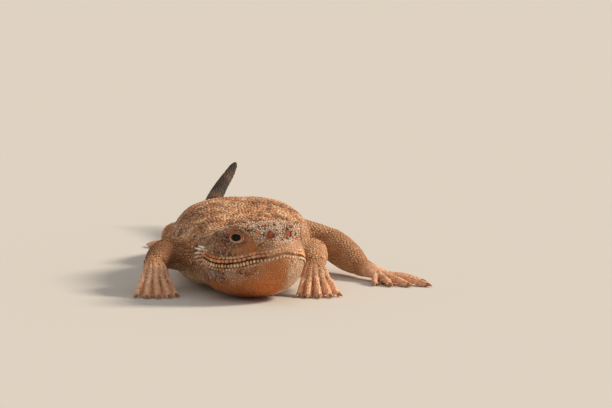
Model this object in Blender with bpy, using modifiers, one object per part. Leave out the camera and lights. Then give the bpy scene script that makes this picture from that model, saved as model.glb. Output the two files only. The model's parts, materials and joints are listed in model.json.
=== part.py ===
"""Secret toadhead agama: a life-size still model of the living lizard, flat on its belly,
head turned to its left, tail curving up behind. Metres, +Z up, the head towards -Y.
The flesh is lofted whole, smoothed as one, and parted with thin cuts."""

import math
import random

import bmesh
import bpy
import numpy as np
from mathutils import Matrix, Vector
from mathutils.bvhtree import BVHTree

# Driving dimensions, in metres
MM = 0.001
CUT = 0.3 * MM  # gap that the thin cuts leave between two nodes
FLESH_GRAIN = 0.55 * MM  # size of the cells that the flesh is smoothed on
SMOOTHING = 12
BODY_TRIANGLES = 2600
HEAD_TRIANGLES = 2000
FLOOR_DEPTH = 12 * MM  # of the block that cuts the feet and belly flat

ROUNDNESS = 2.25  # power of the head's and tail's sections, where 2 is an ellipse
CROWN_ROUNDNESS = 2.8  # of the head's upper half, which is flat between the brows
TRUNK_ROUNDNESS = 2.7

# Head, in its own frame: x forward along the head, y to the animal's left, z up
NECK_PIVOT = Vector((0.0, -38.5, 0.0)) * MM
HEAD_TURN = math.radians(30)  # to the animal's left
HEAD_BACK = 1.0 * MM  # where the head is parted from the neck
HEAD_SPACE = Vector((44, 32.4, 60)) * MM  # length, width and height of the block that holds all of it
# forward, half width, underside and top, all in millimetres
HEAD_STATIONS = (
    (-10.0, 10.0, 3.0, 17.4),
    (-4.0, 11.2, 1.8, 18.2),
    (1.5, 13.4, 0.9, 19.6),
    (6.5, 15.0, 0.6, 21.0),
    (11.0, 14.2, 0.8, 21.9),
    (15.0, 12.7, 1.4, 22.3),
    (18.6, 10.9, 2.5, 22.1),
    (21.4, 9.1, 3.9, 21.5),
    (23.4, 7.4, 5.6, 20.4),
    (25.2, 5.5, 7.8, 18.6),
    (26.6, 3.2, 10.6, 16.6),
)
HEAD_WIDEST = 0.48  # height of the widest level, as a share of the section's height
# the brow ridge of one side: forward, outward, height and radius in millimetres, from the snout back
BROW = (
    (22.0, 4.9, 20.2, 1.2),
    (19.6, 7.5, 20.6, 1.5),
    (16.0, 9.2, 20.6, 1.8),
    (11.8, 10.2, 19.6, 1.6),
    (7.4, 11.4, 17.6, 1.3),
)
EYE_CENTRE = Vector((16.2, 8.1, 18.7)) * MM  # of the left eye, in the head's frame
EYE_RADIUS = 2.7 * MM
LID_RADIUS = 3.5 * MM
EYE_TURN = math.radians(60)  # how far the gaze turns out from straight ahead
EYE_LIFT = math.radians(4)
EYE_SLIT = (1.8 * MM, 1.25 * MM)  # half length and half height of the opening
EYE_SLIT_DEPTH = 2.6 * MM
LID_RIM_RADIUS = 0.42 * MM  # of the raised margin round the opening
NOSTRIL = Vector((22.6, 2.6, 19.6)) * MM  # middle of the left side's mound, in the head's frame
NOSTRIL_MOUND = (1.9, 1.7, 1.6)
NOSTRIL_TURN = math.radians(14)  # how far a nostril faces out from straight ahead
NOSTRIL_LIFT = math.radians(16)
NOSTRIL_RADIUS = 1.1 * MM
NOSTRIL_DEPTH = 0.6 * MM
# the closed mouth, on one side: forward, outward and height in millimetres, from the front back
MOUTH = (
    (27.3, 0.0, 14.6),
    (26.0, 3.5, 13.9),
    (23.0, 7.8, 13.1),
    (19.5, 10.6, 11.9),
    (15.5, 12.5, 11.3),
    (11.0, 13.9, 11.3),
    (6.4, 15.2, 12.5),
)
MOUTH_STEPS = 11
MOUTH_GROOVE = 0.4 * MM
LIP_RADIUS = 0.7 * MM
LIP_RISE = 0.85 * MM  # of each lip's middle above or below the line of the mouth
LIP_SINK = 0.6 * MM
# the row of scutes along each lip, on one side
LABIALS = 16
LABIAL_SIZE = Vector((0.8, 0.88, 0.36)) * MM  # half length, half height and rise
LABIAL_TAPER = 0.5  # of a scute's outer face, as a share of its foot
LABIAL_DEPTH = 0.55 * MM  # of a scute's middle, out from the middle of its lip
# the folded flap behind one corner of the mouth: forward, outward, height and radius in millimetres
FLAP = (
    (7.8, 14.6, 16.2, 0.8),
    (5.8, 15.0, 15.4, 1.1),
    (4.8, 15.2, 13.8, 1.3),
    (5.0, 15.2, 12.2, 1.1),
    (6.6, 15.0, 10.8, 0.8),
)
FLAP_SINK = 0.6 * MM
# the pointed scales along the flap's edge
FRINGE = 9
FRINGE_RADIUS = 0.5 * MM
FRINGE_LENGTHS = (1.5 * MM, 2.5 * MM)  # at the ends of the flap and at its middle
POINT_SHARE = 0.12  # radius of a pointed scale's tip, as a share of its root's

# Trunk: x, y, half width, underside and top, all in millimetres
TRUNK_STATIONS = (
    (0.6, -44.0, 9.6, 3.4, 16.6),
    (0.0, -36.0, 11.4, 2.2, 17.9),
    (0.0, -28.0, 14.4, 0.9, 19.6),
    (0.0, -16.0, 18.2, -0.2, 21.5),
    (0.0, -2.0, 20.0, -0.3, 22.7),
    (0.0, 10.0, 20.4, -0.3, 23.0),
    (-0.1, 22.0, 18.8, -0.3, 21.6),
    (-0.4, 33.0, 15.0, -0.2, 18.6),
    (-0.9, 42.0, 11.2, 0.6, 15.0),
    (-1.7, 50.0, 8.4, 1.8, 12.4),
)
TRUNK_WIDEST = 0.36
NECK_BACK = -33.5 * MM  # where the neck is parted from the torso
# Tail: x, y, z, half width and half height, all in millimetres
TAIL_STATIONS = (
    (-0.9, 40.0, 8.0, 10.2, 6.3),
    (-2.0, 52.0, 7.0, 7.8, 5.0),
    (-4.6, 66.0, 6.2, 6.0, 3.9),
    (-8.2, 84.0, 6.2, 4.6, 3.1),
    (-10.4, 102.0, 7.8, 3.5, 2.5),
    (-10.0, 118.0, 10.6, 2.7, 2.1),
    (-8.0, 132.0, 13.7, 2.2, 1.8),
    (-5.5, 142.0, 16.8, 1.8, 1.5),
    (-4.0, 148.6, 19.0, 1.3, 1.1),
    (-3.4, 151.4, 20.0, 0.7, 0.6),
)
TAIL_WIDEST = 0.45
TAIL_CUTS = (51.0 * MM, 82.0 * MM, 117.0 * MM)

# Limbs, in millimetres: root, elbow or knee, wrist or ankle, and the middle of the knuckles
ARMS = {
    "right": ((-9.6, -27.0, 9.6), (-21.4, -20.5, 10.4), (-24.6, -35.0, 8.4), (-23.8, -40.6, 6.6)),
    "left": ((9.8, -27.0, 9.6), (21.6, -20.0, 10.4), (21.6, -34.0, 8.0), (22.2, -39.6, 6.2)),
}
LEGS = {
    "right": ((-4.6, 31.0, 9.4), (-20.0, 45.5, 7.4), (-19.5, 67.0, 3.4), (-20.4, 77.6, 1.9)),
    "left": ((8.4, 33.0, 9.2), (27.0, 21.0, 8.2), (36.0, 0.5, 3.4), (42.4, -9.0, 2.0)),
}
# radii of each length at its root, belly and end, in millimetres
UPPER_ARM_RADII = (5.2, 5.0, 4.0)
FOREARM_RADII = (3.9, 4.0, 2.7)
THIGH_RADII = (7.4, 6.3, 4.6)
SHIN_RADII = (4.4, 4.5, 2.6)
FLANK_CLEARANCE = 1.0 * MM  # of the cut at a limb's root, out from the flank
ARM_ROOT_REACH = 8.0 * MM  # half the size of the cut at a limb's root, where it leaves the flank squarely
LEG_ROOT_REACH = 10.3 * MM
ELBOW_REACH = 11.5 * MM  # half the size of the cut across the joint
KNEE_REACH = 7.5 * MM
# Digits, from the first to the fifth: spread towards the animal's side in degrees, length in millimetres,
# and how many pointed scales fringe the digit's inner and outer edge
FINGERS = ((-25, 4.8, 0, 0), (-12, 6.8, 0, 3), (1, 7.7, 3, 3), (14, 7.2, 3, 3), (29, 5.4, 0, 3))
TOES = ((-36, 6.6, 0, 0), (-17, 10.0, 0, 4), (-3, 13.2, 5, 5), (10, 16.0, 6, 6), (34, 9.0, 0, 4))
TOE_FRINGE = (0.36 * MM, 1.1 * MM)  # radius and length of a pointed scale
FINGER_FRINGE = (0.32 * MM, 0.8 * MM)
HAND_HALF_WIDTH = 3.7 * MM
FOOT_HALF_WIDTH = 3.0 * MM
SOLE_FLATNESS = 0.46  # thickness of the knuckles, as a share of their width
PALM_FALL = 0.5 * MM  # of the palm's end, down towards the digits
KNUCKLE_SPREAD = 0.72  # of the outermost digits' roots, as a share of the half width
DIGIT_RADIUS = 0.95 * MM
DIGIT_TAPER = (1.12, 0.9)  # of the radius, at the digit's root and at its claw
DIGIT_REST = 0.86  # height of a digit's middle where it lies on the floor, as a share of its radius
DIGIT_ARCH = 0.7 * MM
DIGIT_FALL = 1.25  # power of a digit's way down to the floor, where 1 is straight
DIGIT_SIDES = 6
DIGIT_STEPS = 6
DIGIT_ROOT = 1.6 * MM  # how far back inside the palm a digit begins
CLAW_LENGTH = 2.3 * MM
CLAW = ((0.22, 0.05, 0.62), (0.6, 0.2, 0.42), (1.0, 0.62, 0.12))  # share of its length, drop and radius
STUB = Vector((14, 12, 12)) * MM  # the block that parts a hand or foot from its limb
SHRUNK = 0.15 * MM  # how far the smoothing draws a limb's surface in

# Colours, as linear RGB
SAND = (0.47, 0.27, 0.15, 1.0)
PALE_SAND = (0.62, 0.42, 0.28, 1.0)
DARK_EYE = (0.015, 0.010, 0.008, 1.0)
TAIL_TIP = (0.10, 0.07, 0.05, 1.0)

UP = Vector((0, 0, 1))
SIDES = {"right": -1, "left": 1}


# Scene and material helpers

def clear_scene():
    """Leaves an empty scene."""
    for obj in list(bpy.data.objects):
        bpy.data.objects.remove(obj, do_unlink=True)


def material(name, colour, roughness):
    """A plain Principled material."""
    made = bpy.data.materials.new(name)
    made.use_nodes = True
    shader = made.node_tree.nodes["Principled BSDF"]
    shader.inputs["Base Color"].default_value = colour
    shader.inputs["Roughness"].default_value = roughness
    shader.inputs["Metallic"].default_value = 0.0
    return made


def new_object(name, bm, collection=None):
    """An object made from a bmesh, which it frees."""
    mesh = bpy.data.meshes.new(name)
    bm.to_mesh(mesh)
    bm.free()
    obj = bpy.data.objects.new(name, mesh)
    (collection or bpy.context.scene.collection).objects.link(obj)
    return obj


def helpers(name):
    """A collection for pieces that a Boolean uses up."""
    made = bpy.data.collections.new(name)
    bpy.context.scene.collection.children.link(made)
    return made


def apply_modifiers(obj):
    """Makes the object's evaluated mesh its own mesh, with its modifiers gone."""
    graph = bpy.context.evaluated_depsgraph_get()
    mesh = bpy.data.meshes.new_from_object(obj.evaluated_get(graph))
    obj.modifiers.clear()
    obj.data = mesh


def remove_helpers(collection):
    """Removes a collection with all its pieces."""
    for obj in list(collection.objects):
        bpy.data.objects.remove(obj, do_unlink=True)
    bpy.data.collections.remove(collection)


def boolean(obj, operation, others, solver="EXACT"):
    """Joins or cuts the object with a collection's meshes, removes them, and keeps the largest surface."""
    modifier = obj.modifiers.new(operation, "BOOLEAN")
    modifier.operation = operation
    modifier.solver = solver
    modifier.operand_type = "COLLECTION"
    modifier.collection = others
    bpy.context.view_layer.update()
    apply_modifiers(obj)
    remove_helpers(others)
    keep_largest(obj)


def cut_apart(obj, cutters):
    """Cuts the object with each mesh in a collection in turn, and keeps all of its pieces."""
    for cutter in cutters.objects:
        modifier = obj.modifiers.new("cut", "BOOLEAN")
        modifier.operation = "DIFFERENCE"
        modifier.solver = "MANIFOLD"
        modifier.object = cutter
    bpy.context.view_layer.update()
    apply_modifiers(obj)
    remove_helpers(cutters)


def islands(bm):
    """The mesh's vertices, grouped by what hangs together."""
    left = set(bm.verts)
    groups = []
    while left:
        group, edge = [], [left.pop()]
        while edge:
            vert = edge.pop()
            group.append(vert)
            for link in vert.link_edges:
                other = link.other_vert(vert)
                if other in left:
                    left.remove(other)
                    edge.append(other)
        groups.append(group)
    return groups


def keep_largest(obj):
    """Leaves only the mesh's largest closed surface."""
    bm = bmesh.new()
    bm.from_mesh(obj.data)
    for group in sorted(islands(bm), key=len)[:-1]:
        bmesh.ops.delete(bm, geom=group, context="VERTS")
    bm.to_mesh(obj.data)
    bm.free()


def merge_slivers(obj):
    """Merges the points that thinning leaves almost on one another, so that the surface stays closed."""
    bm = bmesh.new()
    bm.from_mesh(obj.data)
    bmesh.ops.remove_doubles(bm, verts=bm.verts, dist=0.06 * MM)
    bmesh.ops.dissolve_degenerate(bm, edges=bm.edges, dist=0.01 * MM)
    bm.to_mesh(obj.data)
    bm.free()


# Shape helpers

def smooth_curve(stations, count):
    """`count` rows read evenly from a smooth curve through the rows of `stations`."""
    rows = np.array(stations, float)
    last = len(rows) - 1
    slopes = np.gradient(rows, axis=0)
    found = []
    for t in np.linspace(0, last, count):
        i = min(int(t), last - 1)
        u = t - i
        found.append(
            rows[i] * (2 * u**3 - 3 * u**2 + 1)
            + slopes[i] * (u**3 - 2 * u**2 + u)
            + rows[i + 1] * (-2 * u**3 + 3 * u**2)
            + slopes[i + 1] * (u**3 - u**2)
        )
    return np.array(found)


def section(half_width, low, high, widest, sides, lower_power, upper_power=None):
    """A flattened round section across X, as (x, z) pairs, widest at the given share of its height."""
    middle = low + widest * (high - low)
    points = []
    for i in range(sides):
        angle = 2 * math.pi * i / sides
        c, s = math.cos(angle), math.sin(angle)
        power = upper_power if upper_power and s > 0 else lower_power
        x = half_width * math.copysign(abs(c) ** (2 / power), c)
        reach = high - middle if s > 0 else middle - low
        points.append((x, middle + reach * math.copysign(abs(s) ** (2 / power), s)))
    return points


def loft(name, rings, collection=None, endless=False):
    """A closed mesh through rings with the same number of points, capped flat at both ends or run round."""
    bm = bmesh.new()
    rows = [[bm.verts.new(p) for p in ring] for ring in rings]
    sides = len(rows[0])
    following = rows[1:] + rows[:1] if endless else rows[1:]
    for one, two in zip(rows, following):
        for i in range(sides):
            j = (i + 1) % sides
            bm.faces.new((one[i], one[j], two[j], two[i]))
    if not endless:
        bm.faces.new(rows[0])
        bm.faces.new(rows[-1])
    bmesh.ops.recalc_face_normals(bm, faces=bm.faces)
    return new_object(name, bm, collection)


def direction_at(path, i):
    """The way a path runs at one of its points."""
    return (path[min(i + 1, len(path) - 1)] - path[max(i - 1, 0)]).normalized()


def tube(name, path, radii, sides, collection, flat=1.0, up=UP):
    """A loft of round sections along a path. `flat` squashes the sections along `up`."""
    rings = []
    for i, point in enumerate(path):
        along = direction_at(path, i)
        side = along.cross(up)
        side = side.normalized() if side.length > 0.1 else along.orthogonal().normalized()
        over = side.cross(along) * flat
        ring = []
        for k in range(sides):
            angle = 2 * math.pi * k / sides
            ring.append(point + (side * math.cos(angle) + over * math.sin(angle)) * radii[i])
        rings.append(ring)
    return loft(name, rings, collection)


def ball(name, centre, radius, collection, stretch=(1, 1, 1), turn=None, segments=20, rings=12):
    """An ellipsoid, with its place, turn and size in its mesh."""
    bm = bmesh.new()
    bmesh.ops.create_uvsphere(bm, u_segments=segments, v_segments=rings, radius=radius)
    turn = turn.to_4x4() if turn else Matrix.Identity(4)
    shape = Matrix.Translation(centre) @ turn @ Matrix.Diagonal((*stretch, 1))
    bmesh.ops.transform(bm, matrix=shape, verts=bm.verts)
    return new_object(name, bm, collection)


def spine(root, direction, radius, length, collection):
    """A pointed scale: a four-sided cone from its root, which is sunk by its own radius."""
    bm = bmesh.new()
    depth = length + radius
    tip = radius * POINT_SHARE
    bmesh.ops.create_cone(bm, cap_ends=True, segments=4, radius1=radius, radius2=tip, depth=depth)
    turn = direction.to_track_quat("Z", "Y").to_matrix().to_4x4()
    place = Matrix.Translation(root + direction * (depth / 2 - radius))
    bmesh.ops.transform(bm, matrix=place @ turn, verts=bm.verts)
    new_object("spine", bm, collection)


def scute(middle, along, out, size, collection):
    """A low plate on the skin: size = (half length, half height, rise), sunk by as much as it rises."""
    bm = bmesh.new()
    corner = math.sqrt(2)
    bmesh.ops.create_cone(
        bm, cap_ends=True, segments=4, radius1=corner, radius2=corner * LABIAL_TAPER, depth=2
    )
    over = out.cross(along).normalized()
    turn = Matrix((over.cross(out), over, out)).transposed().to_4x4()
    square = Matrix.Rotation(math.pi / 4, 4, "Z")
    shape = Matrix.Translation(middle) @ turn @ Matrix.Diagonal((*size, 1)) @ square
    bmesh.ops.transform(bm, matrix=shape, verts=bm.verts)
    new_object("scute", bm, collection)


def box(name, centre, along, size, collection):
    """A box with its first side along a direction, and size = (along, across, up)."""
    bm = bmesh.new()
    bmesh.ops.create_cube(bm, size=1)
    turn = along.to_track_quat("X", "Z").to_matrix().to_4x4()
    shape = Matrix.Translation(centre) @ turn @ Matrix.Diagonal((*size, 1))
    bmesh.ops.transform(bm, matrix=shape, verts=bm.verts)
    return new_object(name, bm, collection)


def slab(point, normal, reach, cutters):
    """A thin square plate across a direction, which parts what it crosses."""
    box("slab", point, normal, (CUT, 2 * reach, 2 * reach), cutters)


def floor_block(cutters):
    """The space under the floor."""
    size = (400 * MM, 400 * MM, FLOOR_DEPTH)
    box("floor", Vector((0, 40 * MM, -FLOOR_DEPTH / 2)), Vector((1, 0, 0)), size, cutters)


def millimetres(row):
    """A row's first three numbers as a point."""
    return Vector([float(value) for value in row[:3]]) * MM


# The head's own frame

def head_frame():
    """The head's own frame, with x forward, in the model's frame."""
    turn = Matrix.Rotation(HEAD_TURN - math.pi / 2, 4, "Z")
    return Matrix.Translation(NECK_PIVOT) @ turn


def head_turn():
    """The head frame's rotation alone."""
    return head_frame().to_3x3()


def on_side(row, side):
    """A point given for the left side, in metres, put on either side."""
    return Vector((row[0], side * row[1], row[2]))


# The flesh: one smooth body, before it is parted

def trunk():
    """The torso and neck, with an end inside the head and one inside the tail."""
    rings = []
    for x, y, half, low, high in smooth_curve(TRUNK_STATIONS, 70):
        outline = section(half, low, high, TRUNK_WIDEST, 64, TRUNK_ROUNDNESS)
        rings.append([Vector((x + across, y, z)) * MM for across, z in outline])
    return loft("flesh", rings)


def tail_curve():
    """The tail's rows, close together."""
    return smooth_curve(TAIL_STATIONS, 60)


def add_tail(pieces):
    """The tail, flattened at its root and round at its tip."""
    rows = tail_curve()
    path = [millimetres(row) for row in rows]
    rings = []
    for i, (point, row) in enumerate(zip(path, rows)):
        along = direction_at(path, i)
        side = along.cross(UP).normalized()
        over = side.cross(along)
        outline = section(row[3], -row[4], row[4], TAIL_WIDEST, 28, ROUNDNESS)
        rings.append([point + (side * across + over * z) * MM for across, z in outline])
    loft("tail", rings, pieces)


def add_head(pieces):
    """The skull's form, with brow ridges, the bulge of the lids and the mounds of the nostrils."""
    frame = head_frame()
    rings = []
    for forward, half, low, high in smooth_curve(HEAD_STATIONS, 60):
        outline = section(half, low, high, HEAD_WIDEST, 56, ROUNDNESS, CROWN_ROUNDNESS)
        rings.append([frame @ (Vector((forward, across, z)) * MM) for across, z in outline])
    loft("head", rings, pieces)
    for side in SIDES.values():
        rows = smooth_curve(BROW, 16)
        path = [frame @ on_side(millimetres(row), side) for row in rows]
        tube("brow", path, [row[3] * MM for row in rows], 16, pieces)
        ball("lids", frame @ on_side(EYE_CENTRE, side), LID_RADIUS, pieces)
        ball("nostril", frame @ on_side(NOSTRIL, side), MM, pieces, NOSTRIL_MOUND, head_turn())


def add_bone(name, start, end, radii, pieces, extra=0.0):
    """A limb's length between two joints: a bellied form with round ends, run on at its end by `extra`."""
    start, end = millimetres(start), millimetres(end)
    along = (end - start).normalized()
    root, belly, tip = (radius * MM for radius in radii)
    path, sizes = [], []
    for u in np.linspace(0, 1, 9):
        path.append(start.lerp(end, u))
        sizes.append(root * (1 - u) * (1 - 2 * u) + 4 * belly * u * (1 - u) + tip * u * (2 * u - 1))
    far = end + along * extra
    for share in (0.35, 0.7, 0.92):  # rings that round the ends
        drop = math.sqrt(1 - share**2)
        path.insert(0, start - along * root * share)
        sizes.insert(0, root * drop)
        path.append(far + along * tip * share)
        sizes.append(tip * drop)
    tube(name, path, sizes, 18, pieces)


def make_flesh():
    """The whole lizard without hands, feet and eyes, as one smooth fine mesh."""
    flesh = trunk()
    pieces = helpers("flesh_pieces")
    add_tail(pieces)
    add_head(pieces)
    past_joint = 3.0 * MM
    for shoulder, elbow, wrist, _ in ARMS.values():
        add_bone("upper_arm", shoulder, elbow, UPPER_ARM_RADII, pieces)
        add_bone("forearm", elbow, wrist, FOREARM_RADII, pieces, past_joint)
    for hip, knee, ankle, _ in LEGS.values():
        add_bone("thigh", hip, knee, THIGH_RADII, pieces)
        add_bone("shin", knee, ankle, SHIN_RADII, pieces, past_joint)
    boolean(flesh, "UNION", pieces, "MANIFOLD")
    remesh = flesh.modifiers.new("grain", "REMESH")
    remesh.mode = "VOXEL"
    remesh.voxel_size = FLESH_GRAIN
    smooth = flesh.modifiers.new("blend", "SMOOTH")
    smooth.iterations = SMOOTHING
    smooth.factor = 0.5
    apply_modifiers(flesh)
    return flesh


# Parting the flesh

def head_block(extra, blocks):
    """The space that the head fills, from its back on, moved back by a length. The arms are outside it."""
    centre = head_frame() @ Vector((HEAD_BACK - extra + HEAD_SPACE.x / 2, 0, 10 * MM))
    box("head_block", centre, head_turn() @ Vector((1, 0, 0)), HEAD_SPACE, blocks)


def split_head(flesh):
    """Parts the fine flesh at the back of the head, and thins each side to its own count of triangles."""
    halves = []
    for name, operation, extra, count in (
        ("head", "INTERSECT", -CUT / 2, HEAD_TRIANGLES),
        ("body", "DIFFERENCE", CUT / 2, BODY_TRIANGLES),
    ):
        half = flesh.copy()
        half.data = flesh.data.copy()
        half.name = name
        bpy.context.scene.collection.objects.link(half)
        blocks = helpers("head_blocks")
        head_block(extra, blocks)
        boolean(half, operation, blocks, "MANIFOLD")
        triangles = sum(len(face.vertices) - 2 for face in half.data.polygons)
        thin = half.modifiers.new("thin", "DECIMATE")
        thin.ratio = count / triangles
        apply_modifiers(half)
        merge_slivers(half)
        keep_largest(half)
        halves.append(half)
    bpy.data.objects.remove(flesh, do_unlink=True)
    return halves


def leaving_flank(root, middle, side):
    """A point just outside the flank where a limb leaves it, and the flank's outward direction there."""
    rows = smooth_curve(TRUNK_STATIONS, 200) * MM
    middles, lengths, halves = rows[:, 0], rows[:, 1], rows[:, 2]
    slopes = np.gradient(halves, lengths)
    for share in np.linspace(0, 1, 60):
        place = root.lerp(middle, share)
        flank = float(np.interp(place.y, lengths, middles + side * halves))
        if side * (place.x - flank) > 0:
            break
    outward = Vector((side, -float(np.interp(place.y, lengths, slopes)), 0)).normalized()
    return Vector((flank, place.y, place.z)) + outward * FLANK_CLEARANCE, outward


def part_tail(cutters, seeds):
    """Cuts between the tail's lengths, with a point inside each length."""
    rows = tail_curve()
    path = [millimetres(row) for row in rows]

    def nearest(y):
        return int(np.argmin(abs(rows[:, 1] * MM - y)))

    ends = (*TAIL_CUTS, path[-1].y)
    for name, start, end in zip(("tail_base", "tail_middle", "tail_tip"), ends, ends[1:]):
        i = nearest(start)
        slab(path[i], direction_at(path, i), 12 * MM, cutters)
        seeds[name] = path[nearest((start + end) / 2)]


def part_limb(names, joints, side, root_reach, bend_reach, cutters, seeds):
    """Cuts at a limb's root, through the bend of its elbow or knee, and at its wrist or ankle."""
    root, middle, end, _ = (millimetres(joint) for joint in joints)
    point, outward = leaving_flank(root, middle, side)
    slant = outward.dot((middle - root).normalized())
    slab(point, outward, root_reach / slant, cutters)
    along = (end - middle).normalized()
    mitre = ((middle - root).normalized() + along).normalized()
    slab(middle, mitre, bend_reach, cutters)
    box("stub", end + along * (STUB.x - CUT) / 2, along, STUB, cutters)
    seeds[names[0]] = middle.lerp(root, 0.4)
    seeds[names[1]] = middle.lerp(end, 0.5)


def part_body(body):
    """Cuts the thin gaps between the body's nodes, and makes each an object of its own."""
    cutters = helpers("body_cuts")
    seeds = {"neck": Vector((-2.0, -37.0, 10.0)) * MM, "torso": Vector((0, 5, 10)) * MM}
    slab(Vector((0, NECK_BACK, 10 * MM)), Vector((0, 1, 0)), 16 * MM, cutters)
    part_tail(cutters, seeds)
    for name, side in SIDES.items():
        arm = (f"upper_arm_{name}", f"forearm_{name}")
        part_limb(arm, ARMS[name], side, ARM_ROOT_REACH, ELBOW_REACH, cutters, seeds)
        leg = (f"thigh_{name}", f"shin_{name}")
        part_limb(leg, LEGS[name], side, LEG_ROOT_REACH, KNEE_REACH, cutters, seeds)
    floor_block(cutters)
    cut_apart(body, cutters)
    return separate(body, seeds)


def separate(obj, seeds):
    """Makes one object of each island, named for the seed point that lies nearest to its middle."""
    source = bmesh.new()
    source.from_mesh(obj.data)
    source.verts.index_update()
    scrap = 20
    groups = []
    for group in islands(source):
        if len(group) > scrap:
            middle = sum((vert.co for vert in group), Vector()) / len(group)
            groups.append((middle, {vert.index for vert in group}))
    made = {}
    for name, seed in seeds.items():
        _, wanted = min(groups, key=lambda group: (group[0] - seed).length)
        bm = source.copy()
        bm.verts.ensure_lookup_table()
        unwanted = [vert for vert in bm.verts if vert.index not in wanted]
        bmesh.ops.delete(bm, geom=unwanted, context="VERTS")
        made[name] = new_object(name, bm)
    source.free()
    bpy.data.objects.remove(obj, do_unlink=True)
    return made


# The head's details

def surface_finder(head):
    """A function that finds the head's surface straight out from the head's axis, and its normal there."""
    frame = head_frame()
    tree = BVHTree.FromObject(head, bpy.context.evaluated_depsgraph_get())
    reach = 60 * MM
    foremost = 20 * MM

    def find(place):
        axis = Vector((min(place.x, foremost), 0, place.z))
        out = (place - axis).normalized()
        start = frame @ (axis + out * reach)
        found, normal, _, _ = tree.ray_cast(start, frame @ axis - start)
        return found, normal

    return find


def along_mouth(find, lift, sink, steps=MOUTH_STEPS):
    """Points along the closed mouth from its right corner round to its left, raised and sunk a little."""
    half = [millimetres(row) for row in smooth_curve(MOUTH, steps)]
    points = []
    for place in [on_side(row, -1) for row in half[:0:-1]] + half:
        found, normal = find(place + UP * lift)
        level = Vector((normal.x, normal.y, 0)).normalized()
        points.append(found - level * sink)
    return points


def eye_axis(side):
    """The middle of an eye and the direction of its gaze."""
    centre = head_frame() @ on_side(EYE_CENTRE, side)
    gaze = Vector((math.cos(EYE_TURN), side * math.sin(EYE_TURN), math.sin(EYE_LIFT)))
    return centre, (head_turn() @ gaze).normalized()


def add_lips(find, forms):
    """Two soft ridges along the mouth, thinner at its corners."""
    for lift in (LIP_RISE, -LIP_RISE):
        path = along_mouth(find, lift, LIP_SINK)
        last = len(path) - 1
        radii = [LIP_RADIUS * min(1.0, 0.5 + 0.25 * min(i, last - i)) for i in range(last + 1)]
        tube("lip", path, radii, 6, forms)


def add_labials(find, forms):
    """A row of scutes along each lip, from corner to corner, varied a little."""
    rng = random.Random(11)
    for lift in (LIP_RISE, -LIP_RISE):
        path = along_mouth(find, lift, LIP_SINK, LABIALS)
        middle = sum(path, Vector()) / len(path)
        for i in range(1, len(path) - 1):
            along = direction_at(path, i)
            out = along.cross(UP).normalized()
            out *= math.copysign(1, out.dot(path[i] - middle))
            out = (out + UP * math.copysign(rng.uniform(0.1, 0.3), lift)).normalized()
            size = LABIAL_SIZE * rng.uniform(0.88, 1.1)
            scute(path[i] + out * LABIAL_DEPTH, along, out, size, forms)


def add_flap(find, side, forms):
    """The folded skin behind one corner of the mouth, with the pointed scales that fringe its edge."""
    rows = smooth_curve(FLAP, FRINGE)
    rng = random.Random(5)
    frame = head_turn()
    path = []
    for i, row in enumerate(rows):
        found, normal = find(on_side(millimetres(row), side))
        path.append(found - normal * FLAP_SINK)
        spread = 2 * i / (FRINGE - 1) - 1  # from the flap's upper end to its lower
        shortest, longest = FRINGE_LENGTHS
        length = (longest - (longest - shortest) * spread**2) * rng.uniform(0.85, 1.1)
        lie = frame @ Vector((-0.75 + 0.35 * spread**2, side * 0.75, -0.55 * spread))
        radius = row[3] * MM
        spine(path[-1] + lie.normalized() * radius * 0.6, lie.normalized(), FRINGE_RADIUS, length, forms)
    tube("flap", path, [row[3] * MM for row in rows], 8, forms)


def add_lid_rim(side, forms):
    """The raised margin of the lids, all round an eye's opening."""
    centre, gaze = eye_axis(side)
    across = gaze.cross(UP).normalized()
    over = across.cross(gaze)
    length, height = (half + 0.6 * LID_RIM_RADIUS for half in EYE_SLIT)
    rings = []
    for angle in np.linspace(0, 2 * math.pi, 14, endpoint=False):
        spoke = across * length * math.cos(angle) + over * height * math.sin(angle)
        depth = math.sqrt(LID_RADIUS**2 - spoke.length_squared)
        middle = centre + spoke + gaze * (depth - 0.3 * LID_RIM_RADIUS)
        ring = []
        for turn in np.linspace(0, 2 * math.pi, 6, endpoint=False):
            lean = spoke.normalized() * math.cos(turn) + gaze * math.sin(turn)
            ring.append(middle + lean * LID_RIM_RADIUS)
        rings.append(ring)
    loft("lid_rim", rings, forms, endless=True)


def cut_eye(side, cuts):
    """The room that an eye sits in, and the opening between its lids."""
    centre, gaze = eye_axis(side)
    ball("eye_room", centre, EYE_RADIUS + CUT, cuts, segments=14, rings=9)
    turn = gaze.to_track_quat("X", "Z").to_matrix()
    shape = (EYE_SLIT_DEPTH / MM, EYE_SLIT[0] / MM, EYE_SLIT[1] / MM)
    ball("opening", centre + gaze * LID_RADIUS, MM, cuts, shape, turn, 14, 8)


def cut_nostril(head, side, cuts):
    """The cup of a nostril, on its mound, open forwards."""
    middle = head_frame() @ on_side(NOSTRIL, side)
    outward = Vector((math.cos(NOSTRIL_TURN), side * math.sin(NOSTRIL_TURN), math.sin(NOSTRIL_LIFT)))
    facing = (head_turn() @ outward).normalized()
    tree = BVHTree.FromObject(head, bpy.context.evaluated_depsgraph_get())
    found, _, _, _ = tree.ray_cast(middle + facing * 10 * MM, -facing)
    centre = found + facing * (NOSTRIL_RADIUS - NOSTRIL_DEPTH)
    ball("nostril", centre, NOSTRIL_RADIUS, cuts, segments=12, rings=8)


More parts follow.
